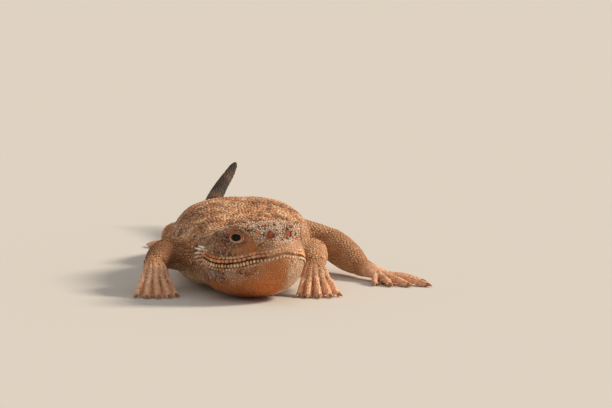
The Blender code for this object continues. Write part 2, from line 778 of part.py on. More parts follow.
def detail_head(head):
    """Lips with scutes, the line of the mouth, fringed flaps, nostrils, and lids round each eye's room."""
    find = surface_finder(head)
    forms = helpers("head_forms")
    cuts = helpers("head_cuts")
    add_lips(find, forms)
    add_labials(find, forms)
    line = along_mouth(find, 0, 0)
    tube("mouth", line, [MOUTH_GROOVE] * len(line), 4, cuts)
    for side in SIDES.values():
        add_flap(find, side, forms)
        add_lid_rim(side, forms)
        cut_eye(side, cuts)
        cut_nostril(head, side, cuts)
    boolean(head, "UNION", forms, "MANIFOLD")
    boolean(head, "DIFFERENCE", cuts, "MANIFOLD")


# Hands and feet

def add_fringe(path, radii, heading, outward, count, sizes, pieces):
    """Pointed scales along one edge of a digit, from its root's third to its claw."""
    radius, length = sizes
    lie = (outward + heading * 0.55).normalized()
    last = len(radii) - 1
    for share in np.linspace(0.35, 0.97, count):
        i = min(int(share * last), last - 1)
        point = path[i].lerp(path[i + 1], share * last - i)
        spine(point + outward * radii[i] * 0.72, lie, radius, length * (1.15 - 0.4 * share), pieces)


def add_digit(root, heading, length, pieces):
    """A finger or toe with its claw: from inside the palm, over an arch and down to the floor."""
    rest = DIGIT_RADIUS * DIGIT_REST
    fall = root.z - rest
    thick, thin = DIGIT_TAPER
    path, radii = [], []
    for u in np.linspace(0, 1, DIGIT_STEPS):
        point = root + heading * length * u
        height = rest + fall * (1 - u) ** DIGIT_FALL + DIGIT_ARCH * math.sin(math.pi * u)
        path.append(Vector((point.x, point.y, height)))
        radii.append(DIGIT_RADIUS * (thick + (thin - thick) * u))
    for share, drop, size in CLAW:
        point = root + heading * (length + CLAW_LENGTH * share)
        path.append(Vector((point.x, point.y, rest - drop * MM)))
        radii.append(size * MM)
    tube("digit", path, radii, DIGIT_SIDES, pieces, 0.92)
    return path[:DIGIT_STEPS], radii[:DIGIT_STEPS]


def palm(name, wrist, knuckles, limb_along, across, start_radius, half_width):
    """The back and palm of a hand or foot, from inside the limb to just past the knuckles."""
    flow = knuckles - wrist
    shares = (-0.3, 0.0, 0.25, 0.5, 0.75, 1.0, 1.18)
    path = [wrist + (flow * share if share >= 0 else limb_along * flow.length * share) for share in shares]
    rings = []
    for i, share in enumerate(shares):
        grown = min(1.0, 1.4 * max(share, 0))
        wide = start_radius + (half_width - start_radius) * grown
        tall = start_radius + (half_width * SOLE_FLATNESS - start_radius) * grown
        if share > 1:
            wide, tall = 0.7 * wide, 0.6 * tall
            path[i] -= UP * PALM_FALL
        over = across.cross(direction_at(path, i)).normalized()
        ring = []
        for k in range(14):
            angle = 2 * math.pi * k / 14
            ring.append(path[i] + across * wide * math.cos(angle) + over * tall * math.sin(angle))
        rings.append(ring)
    return loft(name, rings)


def make_extremity(name, joints, side, digits, fringe, start_radius, half_width):
    """A hand or foot with its five digits, cut to meet its limb and to stand flat on the floor."""
    _, middle, wrist, knuckles = (millimetres(joint) for joint in joints)
    limb_along = (wrist - middle).normalized()
    flow = knuckles - wrist
    heading = Vector((flow.x, flow.y, 0)).normalized()
    outward = heading.cross(UP) * math.copysign(1, heading.y * side)
    turning = math.copysign(1, -heading.y * side)
    made = palm(name, wrist, knuckles, limb_along, heading.cross(UP), start_radius, half_width)
    pieces = helpers(name + "_digits")
    for i, (spread, length, inner, outer) in enumerate(digits):
        turned = Matrix.Rotation(math.radians(turning * spread), 3, "Z") @ heading
        share = KNUCKLE_SPREAD * (i - 2) / 2
        root = knuckles - heading * DIGIT_ROOT + outward * half_width * share
        path, radii = add_digit(root, turned, length * MM + DIGIT_ROOT, pieces)
        edge = turned.cross(UP)
        edge *= math.copysign(1, edge.dot(outward))
        add_fringe(path, radii, turned, -edge, inner, fringe, pieces)
        add_fringe(path, radii, turned, edge, outer, fringe, pieces)
    boolean(made, "UNION", pieces)
    cutters = helpers(name + "_cuts")
    box("start", wrist - limb_along * (STUB.x - CUT) / 2, limb_along, STUB, cutters)
    floor_block(cutters)
    boolean(made, "DIFFERENCE", cutters)
    return made


def make_eye(name, side):
    """An eyeball, loose in its room."""
    centre, _ = eye_axis(side)
    return ball(name, centre, EYE_RADIUS, None, segments=14, rings=9)


# The whole

def main():
    clear_scene()
    head, body = split_head(make_flesh())
    nodes = part_body(body)
    detail_head(head)
    nodes["head"] = head
    for name, side in SIDES.items():
        for kind, limbs, digits, fringe, radii, half_width in (
            ("hand", ARMS, FINGERS, FINGER_FRINGE, FOREARM_RADII, HAND_HALF_WIDTH),
            ("foot", LEGS, TOES, TOE_FRINGE, SHIN_RADII, FOOT_HALF_WIDTH),
        ):
            node = f"{kind}_{name}"
            start = radii[2] * MM - SHRUNK
            nodes[node] = make_extremity(node, limbs[name], side, digits, fringe, start, half_width)
        nodes[f"eye_{name}"] = make_eye(f"eye_{name}", side)

    skin = material("sandy_skin", SAND, 0.85)
    pale = material("pale_digits", PALE_SAND, 0.85)
    finishes = {
        "hand": pale,
        "foot": pale,
        "eye": material("dark_eye", DARK_EYE, 0.08),
        "tail_tip": material("dark_tail_tip", TAIL_TIP, 0.85),
    }
    lizard = bpy.data.collections.new("toadhead_agama")
    bpy.context.scene.collection.children.link(lizard)
    for name, obj in nodes.items():
        kind = next((word for word in finishes if name.startswith(word)), None)
        obj.data.materials.clear()
        obj.data.materials.append(finishes.get(kind, skin))
        obj.name = name
        for holder in list(obj.users_collection):
            holder.objects.unlink(obj)
        lizard.objects.link(obj)


if __name__ == "__main__":
    main()
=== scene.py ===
"""Secret toadhead agama: the looks of the still model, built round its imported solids.
One skin is grown over the flesh, its head is sculpted, and scales, spines, claws and eyes are set on it."""

import json
import math

import bpy
import numpy as np
from bpy.props import FloatProperty, FloatVectorProperty, IntProperty, PointerProperty
from mathutils import Matrix, Vector, geometry, kdtree
from mathutils.bvhtree import BVHTree

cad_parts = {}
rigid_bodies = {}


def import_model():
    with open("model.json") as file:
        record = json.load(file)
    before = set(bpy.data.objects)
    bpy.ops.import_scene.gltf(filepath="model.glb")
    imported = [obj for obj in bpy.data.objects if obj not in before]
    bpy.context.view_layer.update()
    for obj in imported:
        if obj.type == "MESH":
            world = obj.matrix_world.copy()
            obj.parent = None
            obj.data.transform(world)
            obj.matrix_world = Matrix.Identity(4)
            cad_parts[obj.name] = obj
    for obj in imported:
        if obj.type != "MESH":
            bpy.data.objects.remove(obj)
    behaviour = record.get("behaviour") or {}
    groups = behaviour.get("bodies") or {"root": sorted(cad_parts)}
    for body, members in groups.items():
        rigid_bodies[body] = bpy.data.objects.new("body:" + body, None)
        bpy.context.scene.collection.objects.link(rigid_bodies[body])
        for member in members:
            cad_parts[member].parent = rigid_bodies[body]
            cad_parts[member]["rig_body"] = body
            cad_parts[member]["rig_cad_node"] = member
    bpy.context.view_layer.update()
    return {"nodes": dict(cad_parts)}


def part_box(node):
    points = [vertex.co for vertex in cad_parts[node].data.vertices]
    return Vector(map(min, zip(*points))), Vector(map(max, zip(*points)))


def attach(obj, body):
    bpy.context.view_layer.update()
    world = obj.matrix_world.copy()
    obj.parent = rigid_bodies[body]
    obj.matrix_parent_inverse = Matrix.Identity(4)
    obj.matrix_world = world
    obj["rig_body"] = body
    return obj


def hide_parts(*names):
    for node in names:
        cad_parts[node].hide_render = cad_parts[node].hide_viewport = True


bl_info = {
    "name": "Toadhead agama",
    "version": (1, 0, 0),
    "blender": (4, 5, 0),
    "location": "3D View > Sidebar > Agama",
    "description": "Dresses the still model of a toadhead agama with skin, scales, spines, claws and eyes",
    "category": "Object",
}

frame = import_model()

MM = 0.001
UP = Vector((0, 0, 1))
SIDES = {"right": -1, "left": 1}
FLESH = sorted(name for name in frame["nodes"] if not name.startswith("eye_"))
SEED = 7

# The closed mouth of one side in the head's frame: forward, outward and height in millimetres
MOUTH = (
    (27.3, 0.0, 14.6),
    (26.0, 3.5, 13.9),
    (23.0, 7.8, 13.1),
    (19.5, 10.6, 11.9),
    (15.5, 12.5, 11.3),
    (11.0, 13.9, 11.3),
    (6.4, 15.2, 12.5),
)
# The folded flap behind one corner of the mouth, in the same way, from its upper end to its lower
FLAP = ((7.2, 14.9, 15.0), (5.9, 15.1, 14.3), (5.0, 15.2, 13.2), (5.0, 15.2, 12.0), (6.6, 15.0, 10.8))
NOSTRIL = Vector((22.6, 2.6, 19.4)) * MM  # middle of the left nostril's mound
NOSTRIL_TURN = math.radians(14)  # how far a nostril faces out from straight ahead
NOSTRIL_LIFT = math.radians(16)

# More places of one side, in the same way
NOSTRIL_RIM = (23.4, 2.6, 19.8)
# Painted shade: the coat is darkened round this place, in the pit among the scales at the mouth's corner
MOUTH_CORNER = (11.6, 14.0, 10.6)  # the dark pit among the scales there
BROW_PATCH = ((14.8, 9.6, 21.2), (22.4, 8.2, 17.0))  # from over the eye down to its front
CROWN_KNOBS = (  # forward and outward, then the rise of a low bump
    (20.5, 5.2, 0.3),
    (13.4, 5.6, 0.6),
    (20.8, 0.6, 0.3),
    (16.6, 10.2, 0.55),
)

# Limbs in millimetres: the elbow or knee, the wrist or ankle, and the middle of the knuckles
HANDS = {
    "right": ((-21.4, -20.5, 10.4), (-24.6, -35.0, 8.4), (-23.8, -40.6, 6.6)),
    "left": ((21.6, -20.0, 10.4), (21.6, -34.0, 8.0), (22.2, -39.6, 6.2)),
}
FEET = {
    "right": ((-20.0, 45.5, 7.4), (-19.5, 67.0, 3.4), (-20.4, 77.6, 1.9)),
    "left": ((27.0, 21.0, 8.2), (36.0, 0.5, 3.4), (42.4, -9.0, 2.0)),
}
# Digits from the first to the fifth: spread in degrees, length in millimetres,
# and how many pointed scales fringe the inner and the outer edge
FINGERS = ((-25, 4.8, 0, 3), (-12, 6.8, 4, 5), (1, 7.7, 5, 6), (14, 7.2, 5, 6), (29, 5.4, 3, 5))
TOES = ((-36, 6.6, 0, 4), (-17, 10.0, 5, 7), (-3, 13.2, 10, 10), (10, 16.0, 13, 13), (34, 9.0, 5, 7))
HAND_HALF_WIDTH = 3.7 * MM
FOOT_HALF_WIDTH = 3.0 * MM
KNUCKLE_SPREAD = 0.72
DIGIT_ROOT = 1.6 * MM
DIGIT_REST = 0.82 * MM  # height of a digit's middle where it lies on the floor
DIGIT_ARCH = 0.7 * MM
DIGIT_FALL = 1.25  # power of a digit's way down to the floor
DIGIT_RADIUS = 0.72 * MM
MAP_PATCH = 0.003  # width of a scale's patch on the coat's map

# How near to eyes, nostrils, mouth and digits the skin's faces are split, in one or two rounds
EYE_REACHES = (4.6 * MM, 3.4 * MM)
NOSTRIL_REACHES = (2.2, 1.7)  # in half widths of a nostril
LIP_REACH = 1.1 * MM
DIGIT_REACH = 1.1 * MM
LIPS_START = 4  # how far forward in the head's frame the lips begin, in millimetres


# Sizes and colours that a user may change

def length(name, description, millimetres):
    """A size shown in the scene's length unit."""
    return FloatProperty(
        name=name, description=description, default=millimetres * MM, unit="LENGTH", subtype="DISTANCE"
    )


def angle(name, description, degrees):
    """An angle, kept in radians."""
    return FloatProperty(name=name, description=description, default=math.radians(degrees), subtype="ANGLE")


def colour(name, description, *rgb):
    """A linear colour."""
    return FloatVectorProperty(
        name=name, description=description, default=(*rgb, 1.0), size=4, min=0, max=1, subtype="COLOR"
    )


class AgamaHead(bpy.types.PropertyGroup):
    turn: angle("Turn", "How far the head turns to the animal's left", 30)
    pivot: length("Pivot", "Where the head's frame starts, along the body", -38.5)
    gaze_turn: angle("Gaze turn", "How far an eye looks out from straight ahead", 60)
    gaze_lift: angle("Gaze lift", "How far an eye looks up", 4)
    lid_radius: length("Lid radius", "Distance of the lids from the eye's middle", 3.35)
    slit_length: length("Slit length", "Half length of the opening between the lids", 1.55)
    slit_height: length("Slit height", "Half height of the opening between the lids", 1.02)
    socket: length("Socket", "Distance of the hidden socket from the eye's middle", 2.2)
    lid_fold: length("Lid fold", "Height of the folds round an eye", 0.2)
    mouth_depth: length("Mouth depth", "Depth of the line of the mouth", 0.5)
    mouth_width: length("Mouth width", "Half width of the line of the mouth", 0.24)
    lip_swell: length("Lip swell", "Height of the lips beside the line", 0.2)
    nostril_radius: length("Nostril radius", "Half width of a nostril", 1.15)
    nostril_depth: length("Nostril depth", "Depth of a nostril's cup", 0.55)
    upper_scute: length("Upper lip scute", "Distance between the scutes of the upper lip", 1.4)
    lower_scute: length("Lower lip scute", "Distance between the scutes of the lower lip", 1.03)


class AgamaSkin(bpy.types.PropertyGroup):
    grain: length("Grain", "Size of the skin's cells", 0.57)
    closing: length("Closing", "How far the solids swell to grow together", 0.26)
    smoothing: IntProperty(name="Smoothing", description="Rounds of smoothing on trunk and head", default=22)
    limb_smoothing: IntProperty(
        name="Limb smoothing", description="Rounds of smoothing on limbs", default=10
    )
    digit_swell: length("Digit swell", "Flesh given back to the digits after smoothing", 0.2)
    wrinkle: length("Wrinkle", "Height of the folds of loose skin", 0.3)


class AgamaScales(bpy.types.PropertyGroup):
    trunk: length("Trunk scales", "Distance between scales on the trunk", 0.98)
    head: length("Head scales", "Distance between scales on the head", 0.7)
    tail: length("Tail scales", "Distance between scales on the tail", 0.95)
    limb: length("Limb scales", "Distance between scales on the limbs", 0.84)
    digit: length("Digit scales", "Distance between scales on hands and feet", 0.64)
    lid: length("Lid scales", "Distance between scales round an eye", 0.45)
    relaxing: IntProperty(name="Relaxing", description="Rounds that even out the scales' spacing", default=3)


class AgamaColours(bpy.types.PropertyGroup):
    sand: colour("Sand", "Ground colour of the back", 0.56, 0.265, 0.125)
    brown: colour("Brown", "Darker mottling", 0.31, 0.118, 0.05)
    soot: colour("Soot", "Dark speckles", 0.035, 0.022, 0.017)
    cream: colour("Cream", "Pale scales and lips", 0.88, 0.65, 0.41)
    rust: colour("Rust", "Warm throat and brow", 0.70, 0.185, 0.024)
    slate: colour("Slate", "Cool grey scales of the head", 0.35, 0.26, 0.225)
    mist: colour("Mist", "Pale grey scales of the crown", 0.76, 0.58, 0.49)
    blush: colour("Blush", "Nostril lining", 0.34, 0.052, 0.006)
    flesh: colour("Flesh", "Pinkish digits", 0.92, 0.53, 0.35)
    # Ivory is partly the spines' own white and partly painted light, where they catch the sun
    ivory: colour("Ivory", "White tips of the spines at the mouth's corners", 0.97, 0.88, 0.74)
    horn: colour("Horn", "Claws", 0.10, 0.055, 0.03)
    iris: colour("Iris", "Iris of the eye", 0.010, 0.006, 0.004)
    pupil: colour("Pupil", "Pupil of the eye", 0.002, 0.002, 0.002)
    # Painted shade: the coat is darkened towards this colour where its rise is low, at the feet of scales,
    # in the skin between them, along the mouth and inside eyes and nostrils
    gap: colour("Gap", "Shade of the skin between the scales", 0.3, 0.26, 0.24)


class AgamaStage(bpy.types.PropertyGroup):
    elevation: angle("Elevation", "Height of the camera over the ground, as an angle", 6)
    distance: length("Distance", "From the camera to the point it looks at", 1500)
    lens: FloatProperty(name="Lens", description="Focal length in millimetres", default=309.0)
    target: FloatVectorProperty(
        name="Target",
        description="The point the camera looks at",
        default=(19.4 * MM, -48 * MM, 27.3 * MM),
        subtype="XYZ",
        unit="LENGTH",
    )
    floor: colour("Floor", "The plain floor", 0.66, 0.63, 0.59)
    key_turn: angle("Key turn", "Where the key light stands, round from the camera to its right", 100)
    key_height: angle("Key height", "Height of the key light over the ground, as an angle", 33)
    key_strength: FloatProperty(name="Key light", description="Strength of the warm key light", default=3.5)
    key_colour: colour("Key colour", "Colour of the key light", 1.0, 0.88, 0.73)
    key_softness: angle("Key softness", "Width of the key light, as an angle", 16)
    sky: FloatProperty(name="Sky", description="Strength of the light from all round", default=0.5)
    sky_colour: colour("Sky colour", "Colour of the light from all round", 1.0, 0.95, 0.89)


def settings(name):
    """One of the property groups kept on the scene."""
    return getattr(bpy.context.scene, name)


# Meshes as arrays

def points_of(mesh):
    """A mesh's points, one row each."""
    flat = np.empty(len(mesh.vertices) * 3, np.float32)
    mesh.vertices.foreach_get("co", flat)
    return flat.reshape(-1, 3).astype(float)


def normals_of(mesh):
    """The surface's direction at each of a mesh's points."""
    flat = np.empty(len(mesh.vertices) * 3, np.float32)
    mesh.vertex_normals.foreach_get("vector", flat)
    return flat.reshape(-1, 3).astype(float)


def set_points(mesh, points):
    """Moves a mesh's points."""
    mesh.vertices.foreach_set("co", points.astype(np.float32).ravel())
    mesh.update()


def triangles_of(mesh):
    """A mesh's triangles as rows of three point numbers."""
    mesh.calc_loop_triangles()
    flat = np.empty(len(mesh.loop_triangles) * 3, np.int32)
    mesh.loop_triangles.foreach_get("vertices", flat)
    return flat.reshape(-1, 3)


def unit(rows):
    """Rows scaled to length one."""
    return rows / np.maximum(np.linalg.norm(rows, axis=-1, keepdims=True), 1e-12)


def step(low, high, values):
    """A smooth rise from 0 at low to 1 at high."""
    t = np.clip((values - low) / (high - low), 0, 1)
    return t * t * (3 - 2 * t)


def bump(values, middle, width):
    """A round hill of height 1."""
    return np.exp(-(((values - middle) / width) ** 2))


def smooth_curve(stations, count):
    """Rows read evenly from a smooth curve through the rows of `stations`."""
    rows = np.array(stations, float)
    last = len(rows) - 1
    slopes = np.gradient(rows, axis=0)
    t = np.linspace(0, last, count)
    i = np.minimum(t.astype(int), last - 1)
    u = (t - i)[:, None]
    return (
        rows[i] * (2 * u**3 - 3 * u**2 + 1)
        + slopes[i] * (u**3 - 2 * u**2 + u)
        + rows[i + 1] * (-2 * u**3 + 3 * u**2)
        + slopes[i + 1] * (u**3 - u**2)
    )


def set_attribute(mesh, name, kind, values):
    """Writes a value for each point."""
    attribute = mesh.attributes.get(name) or mesh.attributes.new(name, kind, "POINT")
    field = {"FLOAT": "value", "FLOAT_VECTOR": "vector", "FLOAT_COLOR": "color"}[kind]
    attribute.data.foreach_set(field, np.ascontiguousarray(values, np.float32).ravel())


# Blender's own tools

def deselect_all():
    """Leaves object mode with nothing selected."""
    if bpy.context.object and bpy.context.object.mode != "OBJECT":
        bpy.ops.object.mode_set(mode="OBJECT")
    bpy.ops.object.select_all(action="DESELECT")


def make_active(obj):
    """Selects one object alone."""
    deselect_all()
    obj.select_set(True)
    bpy.context.view_layer.objects.active = obj


def apply_modifier(obj, kind, **values):
    """Adds a modifier with its values and applies it."""
    make_active(obj)
    modifier = obj.modifiers.new(kind.lower(), kind)
    for key, value in values.items():
        setattr(modifier, key, value)
    bpy.ops.object.modifier_apply(modifier=modifier.name)


def edit_all(obj):
    """Opens an object in edit mode with all of it selected."""
    make_active(obj)
    bpy.ops.object.mode_set(mode="EDIT")
    bpy.ops.mesh.select_all(action="SELECT")


def joined_copies(name, nodes):
    """Copies of CAD nodes with their doubled points merged, as one object."""
    deselect_all()
    for node in nodes:
        copy = frame["nodes"][node].copy()
        copy.data = copy.data.copy()
        copy.parent = None
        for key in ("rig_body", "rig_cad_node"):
            del copy[key]
        bpy.context.scene.collection.objects.link(copy)
        copy.select_set(True)
        bpy.context.view_layer.objects.active = copy
    bpy.ops.object.join()
    joined = bpy.context.view_layer.objects.active
    joined.name = joined.data.name = name
    joined.data.materials.clear()
    edit_all(joined)
    bpy.ops.mesh.remove_doubles(threshold=0.004 * MM)
    bpy.ops.mesh.normals_make_consistent(inside=False)
    bpy.ops.object.mode_set(mode="OBJECT")
    return joined


def refine(obj, near, reach):
    """Splits the faces whose middles `near` finds within a reach."""
    mesh = obj.data
    middles = np.empty(len(mesh.polygons) * 3, np.float32)
    mesh.polygons.foreach_get("center", middles)
    chosen = near(middles.reshape(-1, 3).astype(float)) < reach
    edit_all(obj)
    bpy.ops.mesh.select_all(action="DESELECT")
    bpy.ops.mesh.select_mode(type="FACE")
    bpy.ops.object.mode_set(mode="OBJECT")
    mesh.polygons.foreach_set("select", chosen)
    bpy.ops.object.mode_set(mode="EDIT")
    bpy.ops.mesh.subdivide(number_cuts=1, smoothness=0)
    bpy.ops.mesh.select_mode(type="VERT")
    bpy.ops.object.mode_set(mode="OBJECT")


def finish_piece(obj, material):
    """Gives a piece its finish, and has it ride on the body."""
    obj.data.materials.clear()
    obj.data.materials.append(material)
    obj.data.shade_smooth()
    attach(obj, "root")


# The head's places

def head_frame():
    """The head's own frame, with x forward, in the model's frame."""
    head = settings("agama_head")
    return Matrix.Translation((0, head.pivot, 0)) @ Matrix.Rotation(head.turn - math.pi / 2, 4, "Z")


def in_head(points):
    """Points in the head's frame, in millimetres."""
    inverse = np.array(head_frame().inverted())
    return (points @ inverse[:3, :3].T + inverse[:3, 3]) / MM


def on_side(row, side):
    """A point given for the left side, put on either side."""
    return Vector((row[0], side * row[1], row[2]))


class EyePlace:
    """Where an eye is, which way it looks, and the shape of its opening."""

    def __init__(self, name):
        head = settings("agama_head")
        low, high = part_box(f"eye_{name}")
        side = SIDES[name]
        self.centre = (low + high) / 2
        self.radius = (high.z - low.z) / 2
        out = Vector(
            (math.cos(head.gaze_turn), side * math.sin(head.gaze_turn), math.sin(head.gaze_lift))
        )
        self.gaze = (head_frame().to_3x3() @ out).normalized()
        self.along = UP.cross(self.gaze).normalized() * -side  # towards the snout
        self.over = self.gaze.cross(self.along) * -side
        self.half = (head.slit_length, head.slit_height)

    def place(self, points):
        """How far out of the opening's middle each point is, in openings, and whether it lies in front."""
        away = points - np.array(self.centre)
        across = away @ np.array(self.along) / self.half[0]
        high = away @ np.array(self.over) / self.half[1]
        return np.hypot(across, high), away @ np.array(self.gaze) > 0

    def on_lid(self, turn, spread, radius):
        """The point on a ball round the eye, seen at an angle round the opening."""
        spoke = self.along * self.half[0] * math.cos(turn) + self.over * self.half[1] * math.sin(turn)
        spoke *= spread
        depth = math.sqrt(max(radius**2 - spoke.length_squared, 0.0))
        return self.centre + spoke + self.gaze * depth, spoke.normalized()


def head_surface(tree):
    """A function that finds the skin straight out from the head's axis at a place in the head's frame."""
    place_in_world = head_frame()
    foremost, reach = 20 * MM, 60 * MM

    def find(place):
        axis = Vector((min(place.x, foremost), 0, place.z))
        out = (place - axis).normalized()
        start = place_in_world @ (axis + out * reach)
        found, normal, _, _ = tree.ray_cast(start, place_in_world @ axis - start)
        return found, normal

    return find


def mouth_line(tree, pitch, lift=0.0):
    """Points a pitch apart on the skin along the mouth, from its right corner to its left, with normals."""
    find = head_surface(tree)
    half = [Vector(row) * MM for row in smooth_curve(MOUTH, 80)]
    places = [on_side(row, -1) for row in half[:0:-1]] + half
    reached = np.array([0.0] + [(two - one).length for one, two in zip(places, places[1:])]).cumsum()
    count = round(reached[-1] / pitch)
    rows = np.array([list(place) for place in places])
    wanted = np.linspace(0, reached[-1], count)
    even = np.stack([np.interp(wanted, reached, rows[:, axis]) for axis in range(3)], axis=1)
    found = [find(Vector(place) + UP * lift) for place in even]
    return [point for point, _ in found], [normal for _, normal in found]


class NostrilPlace:
    """The middle of one nostril on a surface, and the way it faces."""

    def __init__(self, side, tree):
        head = head_frame()
        outward = Vector((math.cos(NOSTRIL_TURN), side * math.sin(NOSTRIL_TURN), math.sin(NOSTRIL_LIFT)))
        self.facing = (head.to_3x3() @ outward).normalized()
        middle = head @ on_side(NOSTRIL, side)
        self.centre, _, _, _ = tree.ray_cast(middle + self.facing * 10 * MM, -self.facing)

    def spread(self, points):
        """How far each point lies from the nostril's middle, in half widths."""
        away = points - np.array(self.centre)
        facing = np.array(self.facing)
        over = away @ facing
        flat = np.linalg.norm(away - over[:, None] * facing, axis=1)
        return np.hypot(flat, 0.6 * over) / settings("agama_head").nostril_radius


def distance_to(path):
    """A function that gives each point's distance to a path, where `near` says so."""
    rows = np.array([list(point) for point in path])
    tree = kdtree.KDTree(len(rows))
    for i, row in enumerate(rows):
        tree.insert(row, i)
    tree.balance()

    def measure(points, near):
        distances = np.full(len(points), 1.0)
        for i in np.flatnonzero(near):
            distances[i] = tree.find(points[i])[2]
        return distances

    return measure


def tree_of(obj):
    """A search tree over an object's own mesh."""
    mesh = obj.data
    return BVHTree.FromPolygons(points_of(mesh).tolist(), triangles_of(mesh).tolist())


def node_finder():
    """A function that names the CAD node nearest to each point, as a number into FLESH."""
    rows, faces, owners, first = [], [], [], 0
    for number, name in enumerate(FLESH):
        mesh = frame["nodes"][name].data
        own = points_of(mesh)
        corners = triangles_of(mesh)
        rows += own.tolist()
        faces += (corners + first).tolist()
        owners += [number] * len(corners)
        first += len(own)
    tree = BVHTree.FromPolygons(rows, faces)
    owners = np.array(owners)

    def name_of(points):
        return owners[[tree.find_nearest(point)[2] for point in points]]

    return name_of


def chosen_nodes(labels, *kinds):
    """Which points belong to the nodes whose names start with any of these words."""
    numbers = [i for i, name in enumerate(FLESH) if name.startswith(kinds)]
    return np.isin(labels, numbers)


# Where each digit lies, as the hands and feet of the solids have them

class Digit:
    """A finger or toe: its root inside the palm, the way it points, and its fringes."""

    def __init__(self, root, heading, outward, length_, inner, outer, is_toe):
        self.root = root
        self.heading = heading
        self.outward = outward
        self.length = length_
        self.fringes = ((-outward, inner), (outward, outer))
        self.is_toe = is_toe

    def height(self, share):
        """Height of the digit's middle line at a share, or an array of shares, of its length."""
        fall = (self.root.z - DIGIT_REST) * (1 - share) ** DIGIT_FALL
        return DIGIT_REST + fall + DIGIT_ARCH * np.sin(np.pi * share)

    def at(self, share):
        """A point on the digit's middle line, at a share of its length."""
        place = self.root + self.heading * self.length * share
        place.z = self.height(share)
        return place

    def roof(self, points):
        """The height of the digit's back over each point, and how far out along the digit it lies."""
        away = (points - np.array(self.root))[:, :2]
        along = away @ np.array(self.heading)[:2] / self.length
        share = np.clip(along, 0, 1)
        off = np.linalg.norm(away - np.outer(share * self.length, np.array(self.heading)[:2]), axis=1)
        radius = DIGIT_RADIUS * (1 - 0.1 * share)
        round_back = self.height(share) + np.sqrt(np.maximum(radius**2 - off**2, 0))
        roof = round_back - 4 * np.maximum(off - radius, 0)
        near = off < 2.4 * MM
        return np.where(near, roof, 0), np.where(near, along, 0)

    def beyond(self, points):
        """How far each point lies past the digit's end, and how far it is off its line."""
        away = points - np.array(self.root)
        past = away @ np.array(self.heading)
        flat = (away - past[:, None] * np.array(self.heading))[:, :2]
        return past - self.length, np.linalg.norm(flat, axis=1)


def digits_of(joints, side, rows, half_width, is_toe):
    """The five digits of a hand or foot."""
    _, wrist, knuckles = (Vector(joint) * MM for joint in joints)
    flow = knuckles - wrist
    heading = Vector((flow.x, flow.y, 0)).normalized()
    outward = heading.cross(UP) * math.copysign(1, heading.y * side)
    turning = math.copysign(1, -heading.y * side)
    found = []
    for i, (spread, long, inner, outer) in enumerate(rows):
        turned = Matrix.Rotation(math.radians(turning * spread), 3, "Z") @ heading
        share = KNUCKLE_SPREAD * (i - 2) / 2
        root = knuckles - heading * DIGIT_ROOT + outward * half_width * share
        edge = turned.cross(UP)
        edge *= math.copysign(1, edge.dot(outward))
        found.append(Digit(root, turned, edge, long * MM + DIGIT_ROOT, inner, outer, is_toe))
    return found


def all_digits():
    """Every finger and toe."""
    found = []
    for name, side in SIDES.items():
        found += digits_of(HANDS[name], side, FINGERS, HAND_HALF_WIDTH, False)
        found += digits_of(FEET[name], side, TOES, FOOT_HALF_WIDTH, True)
    return found


# The skin

def smooth_part(obj, chosen, rounds, give_back):
    """Evens out the chosen points, then swells them by what that took away."""
    mesh = obj.data
    edit_all(obj)
    bpy.ops.mesh.select_all(action="DESELECT")
    bpy.ops.object.mode_set(mode="OBJECT")
    mesh.vertices.foreach_set("select", chosen)
    bpy.ops.object.mode_set(mode="EDIT")
    bpy.ops.mesh.vertices_smooth(factor=0.6, repeat=rounds)
    bpy.ops.object.mode_set(mode="OBJECT")
    points = points_of(mesh)
    points[chosen] += normals_of(mesh)[chosen] * give_back
    set_points(mesh, points)


def sculpt_eye(points, place):
    """Rounds the lids over an eye, opens them, and lays folds round them."""
    head = settings("agama_head")
    spread, front = place.place(points)
    away = points - np.array(place.centre)
    reach = np.linalg.norm(away, axis=1)
    near = front & (spread < 4.2) & (reach < 8 * MM)
    s, r = spread[near], reach[near]
    lid = head.lid_radius + head.lid_fold * (
        1.3 * bump(s, 1.16, 0.14)
        + np.cos(2 * math.pi * (s - 1.75) / 0.62) * step(1.3, 1.6, s) * (1 - step(2.2, 3.4, s))
    )
    shaped = r + (lid - r) * (1 - step(1.7, 2.7, s))
    ripple = head.lid_fold * np.cos(2 * math.pi * (s - 1.75) / 0.62)
    shaped += 0.8 * ripple * step(1.7, 2.2, s) * (1 - step(2.6, 3.8, s))
    shaped += (head.socket - shaped) * (1 - step(0.86, 1.02, s))
    points[near] = np.array(place.centre) + away[near] * (shaped / r)[:, None]


def sculpt_mouth(points, normals, line, labels):
    """Presses in the line of the mouth and swells the lips."""
    head = settings("agama_head")
    local = in_head(points)
    near = chosen_nodes(labels, "head") & (local[:, 0] > LIPS_START) & (abs(local[:, 2] - 13) < 5)
    d = distance_to(line)(points, near)[near]
    press = -head.mouth_depth * bump(d, 0, head.mouth_width)
    swell = head.lip_swell * bump(d, 0.8 * MM, 0.45 * MM)
    points[near] += normals[near] * (press + swell)[:, None]


def sculpt_snout(points, labels):
    """Draws the snout's sides in between crown and lip, and gives the crown's front corners low bumps."""
    forward, outward, height = in_head(points).T
    aside = abs(outward)
    front = chosen_nodes(labels, "head") * step(19.5, 22.5, forward) * step(2.5, 5.0, aside)
    draw = (1.1 * bump(height, 18.3, 1.8) + 0.4 * bump(height, 14.2, 2.0)) * front
    side = np.array(head_frame())[:3, 1]
    points -= np.outer(draw * np.sign(outward) * MM, side)
    crown = chosen_nodes(labels, "head") * step(19.5, 21, height)
    for ahead, out, rise in CROWN_KNOBS:
        knob = bump(forward, ahead, 1.4) * bump(aside, out, 1.3)
        points[:, 2] += rise * MM * knob * crown


def sculpt_nostrils(points, nostrils):
    """Cups each nostril and raises its rim."""
    head = settings("agama_head")
    for place in nostrils:
        d = place.spread(points)
        near = d < 2.6
        press = -head.nostril_depth * (1 - step(0.66, 0.98, d[near]))
        rim = 0.2 * MM * bump(d[near], 1.18, 0.2)
        points[near] += np.array(place.facing) * (press + rim)[:, None]


